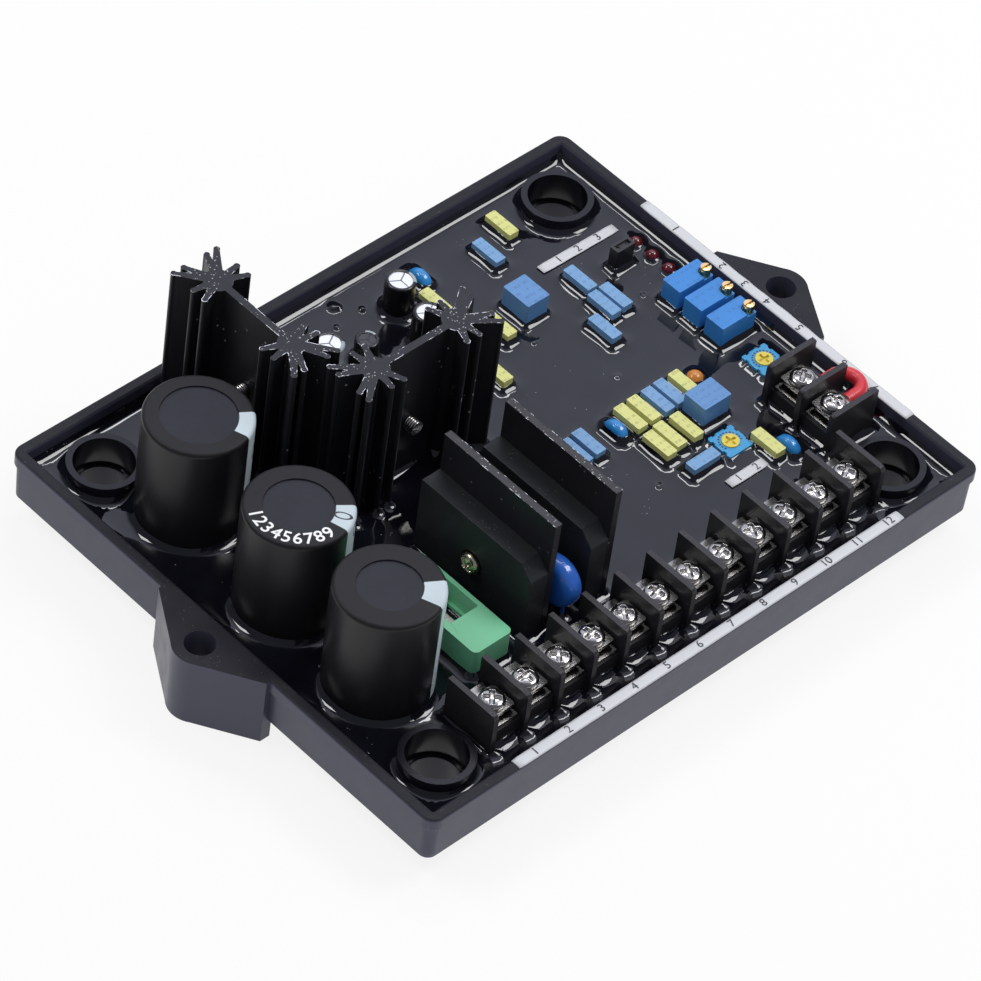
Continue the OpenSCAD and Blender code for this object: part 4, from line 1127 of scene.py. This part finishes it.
class REGULATOR_OT_studio(bpy.types.Operator):
    """Set up the floor, the lights and the camera"""

    bl_idname = "regulator.studio"
    bl_label = "Studio"

    # Direction and size of each softbox, in metres
    softboxes = {
        "key": ((0.5, -0.25, 0.83), (0.34, 0.26)),
        "rim": ((-0.34, 0.45, 0.82), (0.34, 0.16)),
        "strip": ((0.36, 0.3, 0.88), (0.5, 0.05)),
    }
    stand = 0.95  # distance of the softboxes, in metres

    def execute(self, context):
        use = context.scene.regulator_studio
        context.scene.view_settings.view_transform = "Standard"
        self.sky(context.scene, use.fill)
        self.floor(context.scene)
        for name, (toward, size) in self.softboxes.items():
            self.softbox(context.scene, f"{name}_softbox", Vector(toward), size, getattr(use, name))
        self.camera(context.scene, use)
        return {"FINISHED"}

    def seen(self, f):
        """1 for rays that see the backdrop itself: straight, mirrored or through glass."""
        path = f.node("ShaderNodeLightPath", out="Is Camera Ray")
        outs = path.socket.node.outputs
        for name in ("Is Glossy Ray", "Is Transmission Ray"):
            path = path.most(Signal(f, outs[name]))
        return path

    def sky(self, scene, fill):
        """Even light, with a bright panel behind the part for rays that see it."""
        world = scene.world or bpy.data.worlds.new("studio_sky")
        scene.world = world
        f = Finish("studio_sky", world)
        x, y, z = f.split(f.node("ShaderNodeTexCoord", out="Generated"))
        seen = self.seen(f)
        panel = f.ramp(x * 0.527 + y * 0.449 + z * 0.721, 0.7, 0.95)
        strength = fill + seen * (panel * 0.9 + 0.2 - fill)
        tone = f.mix(seen, (1.0, 1.0, 1.0), (0.93, 0.97, 1.18))
        back = f.node("ShaderNodeBackground", None, {"Color": tone, "Strength": strength})
        f.node("ShaderNodeOutputWorld", None, {"Surface": back})

    def floor(self, scene, reach=3.0, steps=24, gap=0.0002):
        """White floor just under the feet, which shows the part's shadow faintly."""
        f = Finish("studio_floor")
        tone = f.mix(f.noise(6.0), (0.9, 0.9, 0.905), (0.93, 0.93, 0.93))
        matt = f.node("ShaderNodeBsdfDiffuse", None, {"Color": tone})
        white = f.node("ShaderNodeEmission", None, {"Color": (1.0, 1.0, 1.0, 1.0), "Strength": 0.985})
        surface = f.node("ShaderNodeMixShader", None, {0: self.seen(f) * 0.86, 1: matt, 2: white})
        f.node("ShaderNodeOutputMaterial", None, {"Surface": surface})
        mesh = bpy.data.meshes.new("floor")
        angles = [TURN * i / steps for i in range(steps)]
        points = [(reach * math.cos(angle), reach * math.sin(angle), 0) for angle in angles]
        mesh.from_pydata(points, [], [tuple(range(steps))])
        mesh.materials.append(f.owner)
        made = bpy.data.objects.new("floor", mesh)
        made.location.z = -gap
        scene.collection.objects.link(made)

    def softbox(self, scene, name, toward, size, radiance):
        lamp = bpy.data.lights.new(name, "AREA")
        lamp.shape, lamp.size, lamp.size_y = "RECTANGLE", size[0], size[1]
        lamp.energy = radiance * math.pi * size[0] * size[1]
        made = bpy.data.objects.new(name, lamp)
        made.location = toward.normalized() * self.stand
        made.rotation_mode = "QUATERNION"
        made.rotation_quaternion = toward.to_track_quat("Z", "Y")
        scene.collection.objects.link(made)

    def camera(self, scene, use):
        a, e, r = use.azimuth, use.elevation, use.roll
        back = Vector((math.sin(a) * math.cos(e), -math.cos(a) * math.cos(e), math.sin(e)))
        level = Vector((math.cos(a), math.sin(a), 0))
        rise = back.cross(level)
        right, up = turned(level, rise, r), turned(rise, level, -r)
        data = bpy.data.cameras.new("camera")
        data.sensor_width, data.lens = 36.0, use.lens
        data.clip_start, data.clip_end = 0.05, 20.0
        made = bpy.data.objects.new("camera", data)
        made.matrix_world = Matrix((right, up, back)).transposed().to_4x4()
        made.location = Vector(use.target) + back * use.distance
        scene.collection.objects.link(made)
        scene.camera = made


OPERATORS = (
    REGULATOR_OT_tray, REGULATOR_OT_resin, REGULATOR_OT_large_cans, REGULATOR_OT_small_cans,
    REGULATOR_OT_heat_sinks, REGULATOR_OT_power_parts, REGULATOR_OT_fuse_holder, REGULATOR_OT_terminals,
    REGULATOR_OT_trimmers, REGULATOR_OT_small_parts, REGULATOR_OT_labels, REGULATOR_OT_studio,
)


class REGULATOR_PT_sidebar(bpy.types.Panel):
    """Lists the pieces of the regulator"""

    bl_idname = "REGULATOR_PT_sidebar"
    bl_label = "Voltage Regulator"
    bl_space_type = "VIEW_3D"
    bl_region_type = "UI"
    bl_category = "Regulator"

    def draw(self, context):
        for operator in OPERATORS:
            self.layout.operator(operator.bl_idname)


GROUPS = {
    "regulator_finishes": RegulatorFinishes,
    "regulator_details": RegulatorDetails,
    "regulator_studio": RegulatorStudio,
}
CLASSES = (*GROUPS.values(), *OPERATORS, REGULATOR_PT_sidebar)


def register():
    for each in CLASSES:
        bpy.utils.register_class(each)
    for name, group in GROUPS.items():
        setattr(bpy.types.Scene, name, bpy.props.PointerProperty(type=group))


def unregister():
    for name in GROUPS:
        delattr(bpy.types.Scene, name)
    for each in reversed(CLASSES):
        bpy.utils.unregister_class(each)


def main():
    register()
    for operator in OPERATORS:
        area, name = operator.bl_idname.split(".")
        getattr(getattr(bpy.ops, area), name)()
    bpy.context.view_layer.update()


if __name__ == "__main__":
    main()
